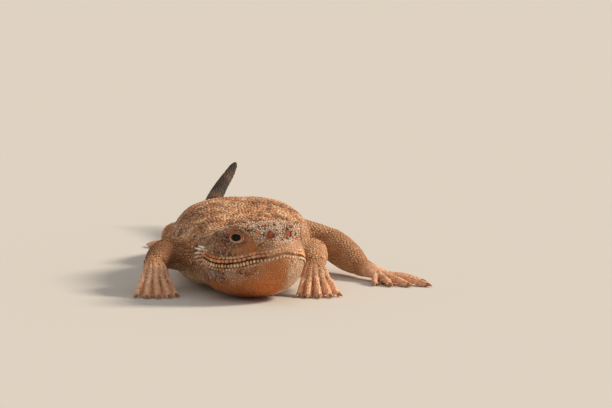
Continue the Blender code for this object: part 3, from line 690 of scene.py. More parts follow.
def sculpt_folds(points, normals, labels):
    """Loose skin: folds across neck, flanks, elbows and wrists, and shallow unevenness all over."""
    skin = settings("agama_skin")
    height = skin.wrinkle
    x, y, z = (points / MM).T
    flank = chosen_nodes(labels, "torso", "neck") * (1 - step(0.35, 0.8, abs(normals[:, 2])))
    waves = np.sin(0.85 * y + 0.5 * np.sin(0.35 * z + 0.1 * x)) * step(-46, -36, y) * (1 - step(-18, -6, y))
    folds = height * 0.9 * waves * flank
    trunk = chosen_nodes(labels, "torso", "neck", "thigh", "upper_arm")
    uneven = np.sin(0.55 * x + 1.3 * np.sin(0.31 * y)) * np.sin(0.47 * y + 1.1 * np.sin(0.4 * x + 0.3 * z))
    folds += 0.45 * height * uneven * trunk
    for name in SIDES:
        for kinds, joints in ((("upper_arm", "forearm", "hand"), HANDS), (("thigh", "shin", "foot"), FEET)):
            bend, end = (np.array(joint) for joint in joints[name][:2])
            on_limb = chosen_nodes(labels, *(f"{kind}_{name}" for kind in kinds))
            along = (points / MM - bend) @ unit(end - bend)
            reach = np.linalg.norm(end - bend)
            creased = np.maximum(bump(along, reach, 2.6), 0.6 * bump(along, 1.5, 2.4))
            ripple = np.sin(4.2 * along + 0.9 * np.sin(0.6 * x + 0.8 * z))
            folds += height * 0.5 * ripple * creased * on_limb
    points += normals * folds[:, None]


def groove_hands(points, normals, labels):
    """Presses grooves into the backs of hands and feet, so that the digits read further up."""
    upper = chosen_nodes(labels, "hand", "foot") * step(0.0, 0.5, normals[:, 2])
    depth = 0.5 * MM * between_digits(points) * upper
    points -= normals * depth[:, None]


def part_digits(points, labels):
    """Lowers the skin between the digits onto their own round backs, so that each stands alone."""
    chosen = chosen_nodes(labels, "hand", "foot")
    rows = points[chosen]
    backs = [digit.roof(rows) for digit in all_digits()]
    roof = np.max([back for back, _ in backs], axis=0)
    along = np.max([share for _, share in backs], axis=0)
    over = np.maximum(rows[:, 2] - np.maximum(roof, 0.06 * MM), 0)
    points[chosen, 2] -= over * step(0.1, 0.34, along)


def blunt_digits(points, labels):
    """Draws the skin back from the claws, so that each digit ends round behind its own."""
    chosen = chosen_nodes(labels, "hand", "foot")
    for digit in all_digits():
        past, off = digit.beyond(points)
        near = chosen & (off < 2 * MM) & (past < 5 * MM)
        over = np.where(near, np.maximum(past - 0.1 * MM, 0), 0)
        points -= np.array(digit.heading) * (0.88 * over)[:, None]


class OBJECT_OT_agama_skin(bpy.types.Operator):
    """Grows one skin over all the flesh and sculpts its eyes, mouth, nostrils and folds"""

    bl_idname = "object.agama_skin"
    bl_label = "Skin"

    def execute(self, context):
        values = context.scene.agama_skin
        skin = joined_copies("skin", FLESH)
        eyes = [EyePlace(name) for name in SIDES]
        for eye in eyes:
            bpy.ops.mesh.primitive_uv_sphere_add(
                segments=24, ring_count=16, radius=eye.radius + 0.5 * MM, location=eye.centre
            )
            bpy.context.object.select_set(True)
            skin.select_set(True)
            bpy.context.view_layer.objects.active = skin
            bpy.ops.object.join()
            deselect_all()
        apply_modifier(skin, "DISPLACE", strength=values.closing, mid_level=0)
        apply_modifier(skin, "REMESH", mode="VOXEL", voxel_size=values.grain)
        apply_modifier(skin, "DISPLACE", strength=-values.closing, mid_level=0)

        name_of = node_finder()
        labels = name_of(points_of(skin.data))
        digits = chosen_nodes(labels, "hand", "foot")
        limbs = chosen_nodes(labels, "upper_arm", "forearm", "thigh", "shin", "tail_tip", "tail_middle")
        smooth_part(skin, ~(digits | limbs), values.smoothing, 0.06 * MM)
        smooth_part(skin, ~digits, values.limb_smoothing, 0.08 * MM)
        smooth_part(skin, digits | mouth_corners(skin, labels), 5, 0)
        smooth_part(skin, digits, 1, values.digit_swell)

        tree = tree_of(skin)
        line, _ = mouth_line(tree, 0.45 * MM)
        measure = distance_to(line)
        nostrils = [NostrilPlace(side, tree) for side in SIDES.values()]
        for eye_reach, nostril_reach in zip(EYE_REACHES, NOSTRIL_REACHES):
            for eye in eyes:
                refine(skin, lambda rows, eye=eye: eye_distance(rows, eye), eye_reach)
            for place in nostrils:
                refine(skin, place.spread, nostril_reach)
        refine(skin, lambda rows: measure(rows, in_head(rows)[:, 0] > LIPS_START), LIP_REACH)
        refine(skin, off_digits, DIGIT_REACH)

        points, normals = points_of(skin.data), normals_of(skin.data)
        labels = name_of(points)
        sculpt_folds(points, normals, labels)
        sculpt_mouth(points, normals, line, labels)
        sculpt_snout(points, labels)
        sculpt_nostrils(points, nostrils)
        for eye in eyes:
            sculpt_eye(points, eye)
        groove_hands(points, normals, labels)
        part_digits(points, labels)
        blunt_digits(points, labels)
        points[:, 2] = np.maximum(points[:, 2], 0.05 * MM)
        set_points(skin.data, points)
        rise = skin_rise(points, labels, line, nostrils, eyes)
        dress(skin, points, normals_of(skin.data), labels, np.full(len(points), 0.5), rise)
        finish_piece(skin, coat_material())
        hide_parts(*FLESH)
        return {"FINISHED"}


def off_digits(points):
    """Each point's distance to the nearest digit, for the points of hands and feet."""
    found = np.full(len(points), 1.0)
    low = points[:, 2] < 5 * MM
    for digit in all_digits():
        rows = points[low]
        share = np.clip((rows - np.array(digit.root)) @ np.array(digit.heading) / digit.length, 0.15, 1)
        line = np.array(digit.root) + np.outer(share * digit.length, np.array(digit.heading))
        line[:, 2] = digit.height(share)
        found[low] = np.minimum(found[low], np.linalg.norm(rows - line, axis=1))
    return found


def skin_rise(points, labels, line, nostrils, eyes):
    """How high the skin counts for the coat's painted shade: low, and so darker, along the mouth's line,
    between the lips' scutes and inside eyes and nostrils.
    """
    rise = np.full(len(points), 0.42)
    forward = in_head(points)[:, 0]
    near = chosen_nodes(labels, "head") & (forward > LIPS_START)
    distances = distance_to(line)(points, near)
    smooth_lip = step(24.6, 26.2, forward)
    gap = 0.42 * step(1.0 * MM, 1.7 * MM, distances)
    rise = np.where(near, np.minimum(rise, np.maximum(gap, 0.75 * smooth_lip)), rise)
    rise *= step(0.12 * MM, 0.42 * MM, distances)
    for place in nostrils:
        rise *= step(0.95, 1.25, place.spread(points))
    for eye in eyes:
        spread, front = eye.place(points)
        rise *= np.where(front, step(0.9, 1.15, spread), 1.0)
    return rise


def eye_distance(rows, eye):
    """Each point's distance to the middle of an eye's opening."""
    return np.linalg.norm(rows - np.array(eye.centre + eye.gaze * eye.radius), axis=1)


def mouth_corners(skin, labels):
    """Where the solids' coarse spines stand at the corners of the mouth, whose place finer ones take."""
    forward, outward, height = in_head(points_of(skin.data)).T
    near = (forward < 9) & (abs(abs(outward) - 16) < 3.2) & (height > 7) & (height < 19)
    return near & chosen_nodes(labels, "head")


# The coat's colour zones

def brow_patch(points):
    """The smooth warm patch from over each eye down its front, fainter on the left brow."""
    forward, outward, height = in_head(points).T
    places = np.stack([forward, abs(outward), height], axis=1)
    top, foot = np.array(BROW_PATCH)
    share = np.clip((places - top) @ (foot - top) / ((foot - top) @ (foot - top)), 0, 1)
    line = top + share[:, None] * (foot - top)
    away = np.linalg.norm(places - line, axis=1) + 0.9 * share
    away += 0.6 * np.maximum(height - line[:, 2], 0) * step(0.1, 0.4, share)
    faint_left = np.maximum(step(18, 19.5, height), step(18, 20, forward))
    faint = np.where(outward < 0, 0.25 * step(19, 22, forward), faint_left)
    return (1 - step(2.0, 3.4, away + uneven_edge(forward, outward, height))) * (1 - 0.9 * faint)


def uneven_edge(forward, outward, height):
    """A gentle unevenness, in millimetres, that keeps the zones' edges from running smooth."""
    return 0.5 * np.sin(2.3 * forward + 1.1 * height) * np.sin(1.9 * outward - 1.4 * height) + 0.25 * np.sin(
        4.1 * forward - 3.2 * outward + 2.6 * height
    )


def on_digits(points, labels):
    """How far out on a hand or foot each point is, from 0 at the wrist to 1 on the digits."""
    found = np.zeros(len(points))
    for kind, places in (("hand", HANDS), ("foot", FEET)):
        for name in SIDES:
            wrist = np.array(places[name][1]) * MM
            away = np.linalg.norm(points - wrist, axis=1) / MM
            found += chosen_nodes(labels, f"{kind}_{name}") * step(1.5, 9, away)
    return found


def between_digits(points):
    """How deep each point lies in the grooves that run from between two digits up the hand or foot."""
    found = np.zeros(len(points))
    digits = all_digits()
    for first, second in zip(digits, digits[1:]):
        if (first.root - second.root).length > 4 * MM:
            continue
        web = np.array((first.at(0.42) + second.at(0.42)) / 2)[:2]
        back = np.array((first.root + second.root) / 2 - (first.heading + second.heading) * 0.9 * MM)[:2]
        flat = points[:, :2] - back
        share = np.clip(flat @ (web - back) / ((web - back) @ (web - back)), 0, 1)
        away = np.linalg.norm(flat - share[:, None] * (web - back), axis=1)
        found = np.maximum(found, bump(away, 0, 0.42 * MM) * (0.25 + 0.75 * share))
    return found


def eye_rings(points):
    """The pale lid and the cool ring under it, round each eye, and the painted shade inside the lids."""
    pale, cool, inside = np.zeros((3, len(points)))
    for name in SIDES:
        eye = EyePlace(name)
        spread, front = eye.place(points)
        near = front & (eye_distance(points, eye) < 6 * MM)
        under = 0.25 + 0.75 * step(-0.2, 0.9, (eye.centre.z - points[:, 2]) / MM)
        pale = np.maximum(pale, near * bump(spread, 1.25, 0.28) * under)
        cool = np.maximum(cool, near * bump(spread, 2.05, 0.42) * under)
        # Painted shade inside the lids, round the eyeball
        inside = np.maximum(inside, near * (1 - step(0.98, 1.12, spread)))
    return pale, cool, inside


class HeadParts:
    """How far each point belongs to each part of the head, from 0 to 1."""

    def __init__(self, points, labels):
        forward, outward, height = in_head(points).T
        aside = abs(outward)
        edge = uneven_edge(forward, outward, height)
        self.head = chosen_nodes(labels, "head").astype(float)
        self.neck = chosen_nodes(labels, "neck").astype(float)
        self.lid, self.ring, self.inside = eye_rings(points)
        stations = MOUTH[::-1]
        mouth = np.interp(forward, [row[0] for row in stations], [row[2] for row in stations])
        below = self.head * step(0.3, 2.2, mouth - height)
        above = self.head - below

        # Painted sunlight: the lower jaw's left side is made pale as if lit by the key light; the smaller
        # share on the right side is its own pale colour
        pale_and_sunlit_jaw = below * step(0.6, 3.6, outward + edge) * step(5, 10, forward)
        self.pale_and_sunlit_jaw = pale_and_sunlit_jaw + 0.25 * below * step(8, 12, -outward) * step(12, 16, forward)
        jowl = below * step(7.5, 11.0, aside) * (1 - step(12.5, 20, forward))
        self.jowl = jowl * (1 - self.pale_and_sunlit_jaw) * step(4.6, 7.2, height + edge)
        throat = (below + 0.4 * self.neck * step(2, 5, 11 - height)) * (1 - self.pale_and_sunlit_jaw) * (1 - 0.7 * self.jowl)
        depth = 0.48 * step(3.5, 8, 12.5 - height + 1.5 * edge)
        self.throat = throat * (0.32 + depth + 0.15 * step(-9, -3, outward + edge))
        speckled = 0.6 * bump(height + edge, 8.9, 1.3) * step(5, 10, aside)
        self.speckled = below * (0.25 * step(2, 9, -outward) + speckled)

        self.brow = above * brow_patch(points) * (1 - self.ring) * (1 - self.lid)
        crown = step(19.0, 20.6, height)
        muzzle = step(16.8, 18.4, height) * (1 - step(6.8, 8.4, aside)) * step(13, 16, forward)
        self.crown = above * np.maximum(crown, muzzle) * (1 - self.brow) * (1 - self.ring)
        self.snout = above * step(18, 22, forward) * (1 - self.crown) * (1 - self.brow)
        # Painted sunlight: the snout's front is paler on its left side, the side the key light falls on
        self.front = self.snout * (0.1 + 0.4 * step(0.5, 4.5, outward + edge))
        cheek = above * step(8, 10.5, aside) * (1 - self.crown) * (1 - self.brow)
        self.cheek = cheek * (1 - step(14, 19, forward))
        self.temple = self.cheek * (1 - step(8.5, 12, forward))

        self.lip = self.head * step(22.5, 25, forward) * bump(height - mouth, 0.4, 2.4)
        places = np.stack([forward, aside, height], axis=1)
        self.rim = self.head * bump(np.linalg.norm(places - NOSTRIL_RIM, axis=1), 1.5, 0.4)
        # Painted shade in the pit at the mouth's corner
        self.corner = self.head * bump(np.linalg.norm(places - MOUTH_CORNER, axis=1), 0, 2.0)


def zones_of(points, normals, labels):
    """Four shares for each point: warm, pale, cool and dark. Pale also carries painted sunlight, and dark
    also painted shade.
    """
    part = HeadParts(points, labels)
    belly = step(0.25, 0.8, -normals[:, 2]) * (1 - part.head)
    # Painted shade: the sides of trunk and neck, turned away from the top, get a dark share
    flank = chosen_nodes(labels, "torso", "neck") * (1 - step(0.3, 0.75, normals[:, 2])) * (1 - belly)
    tail = chosen_nodes(labels, "tail")
    along = points[:, 1] / MM
    tail_end = tail * (0.86 * step(50, 88, along) + 0.14 * step(110, 125, along))
    band = tail * step(0.35, 0.8, np.sin(along / 3.4))

    warm = part.throat + 0.82 * part.brow + 0.4 * part.snout + 0.3 * part.jowl
    warm += 0.12 * chosen_nodes(labels, "upper_arm", "forearm")

    pale = belly + part.pale_and_sunlit_jaw + 0.65 * part.crown + part.front + 0.8 * part.lip + part.lid
    pale += 0.15 * part.jowl + 0.15 * part.temple + 0.9 * on_digits(points, labels)
    # Painted sunlight: the left arm and leg, on the side the key light falls on, are made paler
    pale += 0.5 * chosen_nodes(labels, "upper_arm_left", "forearm_left")
    pale += 0.2 * chosen_nodes(labels, "thigh_left", "shin_left")

    cool = 0.95 * part.crown + 0.8 * part.cheek - 0.4 * part.temple + 0.8 * part.jowl + 0.5 * part.snout
    cool += 0.42 * part.pale_and_sunlit_jaw + 0.9 * part.ring + 0.35 * part.neck + part.speckled
    cool *= (1 - 0.7 * part.lip) * (1 - part.lid)

    # Painted shade: dark shares for the flanks, the inside of the lids and the pit at the mouth's corner
    dark = tail_end + 0.15 * band + 0.2 * flank + part.inside + 0.4 * part.rim + 0.55 * part.corner
    # The brow's small dark share is painted shade under its overhang
    dark += 0.15 * part.cheek + 0.1 * part.jowl + 0.06 * part.brow + 0.06 * part.snout
    # Painted shade in the grooves between the digits
    dark += 0.4 * between_digits(points) * chosen_nodes(labels, "hand", "foot")
    # Painted shade: the right arm, on the side away from the key light, is darkened
    dark += 0.38 * chosen_nodes(labels, "upper_arm_right", "forearm_right")
    return np.clip(np.stack([warm, pale, cool, dark], axis=1), 0, 1)


def calm_of(normals, labels, digits):
    """How far the markings fade at each point: least on back and head, most on the digits."""
    calm = 0.35 * chosen_nodes(labels, "upper_arm", "thigh") + 0.6 * chosen_nodes(labels, "forearm", "shin")
    calm += chosen_nodes(labels, "hand", "foot") * (0.65 + 0.35 * digits)
    calm += 0.2 * chosen_nodes(labels, "tail")
    return np.maximum(calm, step(0.1, 0.6, -normals[:, 2]))


def dress(obj, roots, normals, labels, chance, rise, zones=None):
    """Writes what the coat's finish reads: each point's root, zones, calm, chance, bareness and rise."""
    bare = on_digits(roots, labels)
    if zones is None:
        zones = zones_of(roots, normals, labels)
    set_attribute(obj.data, "root", "FLOAT_VECTOR", roots)
    set_attribute(obj.data, "zones", "FLOAT_COLOR", zones)
    set_attribute(obj.data, "calm", "FLOAT", calm_of(normals, labels, bare))
    set_attribute(obj.data, "chance", "FLOAT", chance)
    set_attribute(obj.data, "bare", "FLOAT", bare)
    # Painted shade: a low rise darkens the coat; on hands and feet the rise is lifted halfway to 1, so they
    # are shaded less
    set_attribute(obj.data, "rise", "FLOAT", rise + (1 - rise) * 0.5 * bare)


# Finishes

class Finish:
    """A short way to build a material's nodes."""

    def __init__(self, name):
        self.material = bpy.data.materials.new(name)
        self.material.use_nodes = True
        self.nodes = self.material.node_tree.nodes
        self.links = self.material.node_tree.links
        self.shader = self.nodes["Principled BSDF"]

    def add(self, kind, inputs=(), **values):
        """A node with its values set and its inputs set or linked by name or number."""
        node = self.nodes.new(kind)
        for key, value in values.items():
            setattr(node, key, value)
        for key, value in dict(inputs).items():
            self.set(node.inputs[key], value)
        return node

    def set(self, socket, value):
        """Links a socket to another, or sets its value."""
        if isinstance(value, bpy.types.NodeSocket):
            self.links.new(value, socket)
        else:
            socket.default_value = value

    def attribute(self, name, output):
        return self.add("ShaderNodeAttribute", attribute_name=name).outputs[output]

    def math(self, operation, one, two=0.5, three=0.5, clamp=False):
        inputs = {0: one, 1: two, 2: three}
        return self.add("ShaderNodeMath", inputs, operation=operation, use_clamp=clamp).outputs[0]

    def ramp(self, value, low, high, start=0.0, end=1.0):
        """A smooth change of one value into another."""
        node = self.add(
            "ShaderNodeMapRange",
            {"Value": value, "From Min": low, "From Max": high, "To Min": start, "To Max": end},
            interpolation_type="SMOOTHSTEP",
        )
        return node.outputs[0]

    def mix(self, share, one, two):
        """A colour between two."""
        node = self.add("ShaderNodeMix", data_type="RGBA")
        self.set(node.inputs[0], share)
        self.set(node.inputs[6], one)
        self.set(node.inputs[7], two)
        return node.outputs[2]

    def noise(self, vector, scale, detail=3.0):
        node = self.add("ShaderNodeTexNoise", {"Vector": vector, "Scale": scale, "Detail": detail})
        return node.outputs[0]

    def product(self, first, *others):
        """Several values multiplied."""
        for other in others:
            first = self.math("MULTIPLY", first, other)
        return first

    def bands(self, value, rows):
        """One of several colours, by where a value falls: (start, colour) rows."""
        node = self.add("ShaderNodeValToRGB", {"Fac": value})
        node.color_ramp.interpolation = "CONSTANT"
        elements = node.color_ramp.elements
        while len(elements) < len(rows):
            elements.new(1.0)
        for element, (start, tone) in zip(elements, rows):
            element.position = start
            element.color = tone
        return node.outputs["Color"]


def coat_material():
    """The finish of skin and scales: sandy mottling, dark and pale speckles, the zones' tones with their
    painted light and shade, and painted shade where the rise is low.
    """
    found = bpy.data.materials.get("agama_coat")
    if found:
        return found
    tones = settings("agama_colours")
    f = Finish("agama_coat")
    root = f.attribute("root", "Vector")
    chance = f.attribute("chance", "Fac")
    rise = f.attribute("rise", "Fac")
    warm, pale, cool = f.add("ShaderNodeSeparateColor", {"Color": f.attribute("zones", "Color")}).outputs
    dark = f.attribute("zones", "Alpha")
    marks = f.math("SUBTRACT", 1.0, f.attribute("calm", "Fac"), clamp=True)

    blotch = f.noise(root, 120.0, 4.0)
    pick = f.math("MULTIPLY_ADD", f.math("SUBTRACT", blotch, 0.5), 2.2, chance)
    mottle = f.bands(
        pick, ((0.0, tones.cream), (0.05, tones.sand), (0.64, tones.brown), (0.88, tones.soot))
    )
    tone = f.mix(f.product(marks, 0.8), tones.sand, mottle)
    spots = f.add("ShaderNodeTexVoronoi", {"Vector": root, "Scale": 210.0, "Randomness": 0.85})
    spot = f.ramp(spots.outputs["Distance"], 0.22, 0.4, 1.0, 0.0)
    tone = f.mix(f.product(spot, marks, f.ramp(chance, 0.1, 0.6), 0.5), tone, tones.cream)

    pale_tone = f.mix(f.ramp(f.noise(root, 300.0, 3.0), 0.42, 0.7, 0.15, 0.75), tones.cream, tones.sand)
    tone = f.mix(f.product(pale, 0.85), tone, pale_tone)
    tone = f.mix(f.product(f.attribute("bare", "Fac"), 0.6), tone, tones.flesh)
    warm_tone = f.mix(f.ramp(f.noise(root, 160.0, 3.0), 0.4, 0.75, 0.0, 0.5), tones.rust, tones.sand)
    tone = f.mix(f.product(warm, 0.92), tone, warm_tone)
    drift = f.math("MULTIPLY_ADD", f.math("SUBTRACT", f.noise(root, 300.0, 2.0), 0.5), 1.2, chance)
    deep = f.bands(
        drift,
        (
            (0.0, tones.cream),
            (0.13, tones.sand),
            (0.32, tones.slate),
            (0.46, tones.brown),
            (0.66, tones.slate),
            (0.77, tones.soot),
        ),
    )
    light = f.bands(
        drift,
        (
            (0.0, tones.cream),
            (0.26, tones.sand),
            (0.42, tones.mist),
            (0.62, tones.rust),
            (0.7, tones.mist),
            (0.86, tones.soot),
        ),
    )
    tone = f.mix(f.product(cool, 0.92), tone, f.mix(f.ramp(pale, 0.1, 0.6), deep, light))
    # The dark share is partly the coat's own dark marks and partly painted shade; both go towards soot
    dark_and_painted_shade = f.product(dark, f.ramp(blotch, 0.4, 0.6, 0.85, 1.0))
    tone = f.mix(dark_and_painted_shade, tone, tones.soot)

    # Painted shade: the tone is multiplied down towards the gap colour where the rise is low
    shade = f.mix(f.ramp(rise, 0.0, 0.75), tones.gap, (1, 1, 1, 1))
    multiply = f.add("ShaderNodeMix", data_type="RGBA", blend_type="MULTIPLY")
    f.set(multiply.inputs[0], 1.0)
    f.set(multiply.inputs[6], tone)
    f.set(multiply.inputs[7], shade)
    lift = f.ramp(chance, 0.0, 1.0, 0.82, 1.2)
    varied = f.add("ShaderNodeHueSaturation", {"Value": lift, "Color": multiply.outputs[2]})
    f.set(f.shader.inputs["Base Color"], varied.outputs[0])
    f.shader.inputs["Roughness"].default_value = 0.62
    f.shader.inputs["Specular IOR Level"].default_value = 0.22
    place = f.add("ShaderNodeTexCoord").outputs["Object"]
    grain = f.add(
        "ShaderNodeBump", {"Strength": 0.35, "Distance": 0.06 * MM, "Height": f.noise(place, 3500.0, 2.0)}
    )
    f.set(f.shader.inputs["Normal"], grain.outputs[0])
    return f.material


def spine_material():
    """Spines that are sandy at the root, and white where the zones' fourth share says so, the white partly
    their own and partly painted light.
    """
    tones = settings("agama_colours")
    f = Finish("agama_spines")
    tip = f.attribute("rise", "Fac")
    streak = f.noise(f.add("ShaderNodeTexCoord").outputs["Object"], 1200.0, 3.0)
    white = f.attribute("zones", "Alpha")
    tone = f.mix(white, tones.sand, tones.ivory)
    tone = f.mix(f.ramp(tip, 0.45, 0.7), tones.sand, tone)
    tone = f.mix(f.ramp(streak, 0.5, 0.75, 0.0, 0.3), tone, tones.brown)
    f.set(f.shader.inputs["Base Color"], tone)
    f.shader.inputs["Roughness"].default_value = 0.5
    return f.material


def horn_material():
    """Claws: dark horn, paler and worn towards the tip."""
    tones = settings("agama_colours")
    f = Finish("agama_horn")
    tip = f.attribute("rise", "Fac")
    streak = f.noise(f.add("ShaderNodeTexCoord").outputs["Object"], 900.0, 3.0)
    tone = f.mix(f.ramp(tip, 0.3, 1.0, 0.0, 0.7), tones.horn, tones.sand)
    tone = f.mix(f.ramp(streak, 0.45, 0.7, 0.0, 0.4), tone, tones.soot)
    f.set(f.shader.inputs["Base Color"], tone)
    f.shader.inputs["Roughness"].default_value = 0.34
    return f.material


def eye_material():
    """A dark eye: black pupil, deep brown iris with a thin pale ring, under a wet surface."""
    tones = settings("agama_colours")
    f = Finish("agama_eye")
    off = f.attribute("off_gaze", "Fac")
    streaks = f.noise(f.add("ShaderNodeTexCoord").outputs["Object"], 2600.0, 3.0)
    iris = f.mix(f.ramp(streaks, 0.35, 0.7), tones.soot, tones.iris)
    gold = f.ramp(off, 0.42, 0.47, 0.5, 0.0)
    iris = f.mix(gold, iris, tones.brown)
    tone = f.mix(f.ramp(off, 0.38, 0.42, 1.0, 0.0), iris, tones.pupil)
    f.set(f.shader.inputs["Base Color"], tone)
    f.shader.inputs["Roughness"].default_value = 0.12
    f.shader.inputs["Specular IOR Level"].default_value = 0.12
    f.shader.inputs["Coat Weight"].default_value = 0.12
    f.shader.inputs["Coat Roughness"].default_value = 0.05
    return f.material


def nostril_material():
    """The moist, orange-red lining of a nostril, darker at its rim."""
    tones = settings("agama_colours")
    f = Finish("agama_nostril")
    off = f.attribute("off_gaze", "Fac")
    tone = f.mix(f.ramp(off, 0.55, 1.0), tones.blush, tones.soot)
    mottle = f.noise(f.add("ShaderNodeTexCoord").outputs["Object"], 1500.0, 3.0)
    tone = f.mix(f.ramp(mottle, 0.45, 0.65, 0.0, 0.6), tone, tones.brown)
    f.set(f.shader.inputs["Base Color"], tone)
    f.shader.inputs["Roughness"].default_value = 0.7
    f.shader.inputs["Specular IOR Level"].default_value = 0.2
    return f.material


# Shapes that repeat, each modelled once

class Pattern:
    """A small shape's points and faces, read from a modelled object that it then removes."""

    def __init__(self, obj):
        mesh = obj.data
        self.points = points_of(mesh)
        self.faces = [tuple(face.vertices) for face in mesh.polygons]
        # Each point's height, which for the coat is a painted shade: darkest at a piece's foot
        self.rise = np.clip(self.points[:, 2], 0, None)
        self.rise /= max(self.rise.max(), 1e-9)
        bpy.data.objects.remove(obj, do_unlink=True)


def modelled_scale(sides, crown, rear, peak=0.28):
    """A domed scale: x across, y towards its free rear edge, z up; its foot reaches below the skin."""
    deselect_all()
    bpy.ops.mesh.primitive_cylinder_add(vertices=sides, radius=1.0, depth=0.8, location=(0, 0, -0.22))
    scale = bpy.context.object
    bpy.ops.object.transform_apply(location=True)
    edit_all(scale)
    bpy.ops.mesh.select_all(action="DESELECT")
    bpy.ops.mesh.select_mode(type="FACE")
    bpy.ops.object.mode_set(mode="OBJECT")
    for face in scale.data.polygons:
        face.select = face.normal.z > 0.9
    bpy.ops.object.mode_set(mode="EDIT")
    bpy.ops.transform.resize(value=(crown, crown, 1.0))
    bpy.ops.mesh.poke(offset=peak)
    bpy.ops.mesh.select_mode(type="VERT")
    bpy.ops.object.mode_set(mode="OBJECT")
    for vertex in scale.data.vertices:
        if vertex.co.z > 0:
            vertex.co.z += rear * vertex.co.y * 0.5 + rear * 0.25
            vertex.co.y += 0.18 * rear
        if vertex.co.z > 0.35:
            vertex.co.y += 0.3 * rear
    return Pattern(scale)


def modelled_spine(sides, stages):
    """A tapered spine along y, extruded stage by stage: (length, width, drop) from its root."""
    deselect_all()
    upright = (math.pi / 2, 0, 0)
    bpy.ops.mesh.primitive_circle_add(vertices=sides, radius=1.0, fill_type="NGON", rotation=upright)
    spine = bpy.context.object
    bpy.ops.object.transform_apply(rotation=True)
    edit_all(spine)
    width = 1.0
    for length_, narrower, drop in stages:
        bpy.ops.mesh.extrude_region_move(TRANSFORM_OT_translate={"value": (0, length_, -drop)})
        share = narrower / width
        bpy.ops.transform.resize(value=(share, 1, share))
        width = narrower
    bpy.ops.mesh.select_all(action="SELECT")
    bpy.ops.mesh.normals_make_consistent(inside=False)
    bpy.ops.object.mode_set(mode="OBJECT")
    pattern = Pattern(spine)
    # For the coat this rise is a painted shade that lightens towards the tip; for the spines' own finish it
    # makes the tip white
    pattern.rise = 0.45 + 0.55 * np.clip(pattern.points[:, 1] / pattern.points[:, 1].max(), 0, 1)
    return pattern


def modelled_scute():
    """A rounded lip scute, domed in two steps: x along the lip, y up it, z out."""
    deselect_all()
    bpy.ops.mesh.primitive_cylinder_add(vertices=10, radius=1.0, depth=1.2, location=(0, 0, -0.3))
    scute = bpy.context.object
    bpy.ops.object.transform_apply(location=True)
    edit_all(scute)
    bpy.ops.mesh.select_all(action="DESELECT")
    bpy.ops.mesh.select_mode(type="FACE")
    bpy.ops.object.mode_set(mode="OBJECT")
    for face in scute.data.polygons:
        face.select = face.normal.z > 0.9
    bpy.ops.object.mode_set(mode="EDIT")
    for share, rise in ((0.86, 0.36), (0.6, 0.24)):
        bpy.ops.mesh.extrude_region_move(TRANSFORM_OT_translate={"value": (0, 0, rise)})
        bpy.ops.transform.resize(value=(share, share, 1))
    bpy.ops.mesh.poke(offset=0.06)
    bpy.ops.mesh.select_mode(type="VERT")
    bpy.ops.object.mode_set(mode="OBJECT")
    return Pattern(scute)


def set_out(name, pattern, roots, across, lies, normals, sizes, labels, chance, zones=None):
    """Copies a pattern to each root, turned and scaled, as one mesh that the coat dresses."""
    count, each = len(roots), len(pattern.points)
    local = pattern.points[None] * sizes[:, None]
    placed = (
        roots[:, None]
        + local[..., 0:1] * across[:, None]
        + local[..., 1:2] * lies[:, None]
        + local[..., 2:3] * normals[:, None]
    ).reshape(-1, 3)
    placed[:, 2] = np.maximum(placed[:, 2], 0.02 * MM)
    faces = []
    for first in range(0, count * each, each):
        faces += [tuple(first + corner for corner in face) for face in pattern.faces]
    mesh = bpy.data.meshes.new(name)
    mesh.from_pydata(placed.tolist(), [], faces)
    obj = bpy.data.objects.new(name, mesh)
    bpy.context.scene.collection.objects.link(obj)
    repeat = np.repeat(np.arange(count), each)
    dress(
        obj, roots[repeat], normals[repeat], labels[repeat], chance[repeat], np.tile(pattern.rise, count),
        None if zones is None else zones[repeat],
    )
    patch_map(obj, roots, np.tile(pattern.points[:, :2], (count, 1)), repeat)
    return obj


# The coat's own map

UNWRAPS = {}


def skin_unwrap():
    """A light copy of the skin, unwrapped by its own shape, with a tree to look places up in."""
    if "skin" in UNWRAPS:
        return UNWRAPS["skin"]
    skin = bpy.data.objects["skin"]
    light = skin.copy()
    light.data = skin.data.copy()
    bpy.context.scene.collection.objects.link(light)
    apply_modifier(light, "DECIMATE", ratio=9000 / len(triangles_of(skin.data)))
    edit_all(light)
    bpy.ops.uv.smart_project(angle_limit=math.radians(66), island_margin=0.004)
    bpy.ops.object.mode_set(mode="OBJECT")
    mesh = light.data
    corners = triangles_of(mesh)
    loops = np.empty(len(mesh.loop_triangles) * 3, np.int32)
    mesh.loop_triangles.foreach_get("loops", loops)
    flat = np.empty(len(mesh.loops) * 2, np.float32)
    mesh.uv_layers.active.data.foreach_get("uv", flat)
    uvs = flat.reshape(-1, 2)[loops].reshape(-1, 3, 2)
    points = points_of(mesh)
    tree = BVHTree.FromPolygons(points.tolist(), corners.tolist())
    UNWRAPS["skin"] = (tree, points[corners], uvs)
    bpy.data.objects.remove(light, do_unlink=True)
    return UNWRAPS["skin"]


def patch_map(obj, roots, offsets, owners):
    """Gives each scale a small patch of the map, at its root's place on the skin's unwrap."""
    tree, corners, uvs = skin_unwrap()
    places = np.empty((len(roots), 2))
    for i, root in enumerate(roots):
        found, _, face, _ = tree.find_nearest(root)
        flat = [Vector((u, v, 0)) for u, v in uvs[face]]
        mapped = geometry.barycentric_transform(found, *[Vector(c) for c in corners[face]], *flat)
        places[i] = mapped.x, mapped.y
    reach = np.abs(offsets).max()
    by_point = np.clip(places[owners] + offsets / reach * MAP_PATCH / 2, 0.0, 1.0)
    mesh = obj.data
    layer = mesh.uv_layers.new(name="OFBake")
    loops = np.empty(len(mesh.loops), np.int32)
    mesh.loops.foreach_get("vertex_index", loops)
    layer.data.foreach_set("uv", by_point[loops].astype(np.float32).ravel())


# Scattering scales over the skin

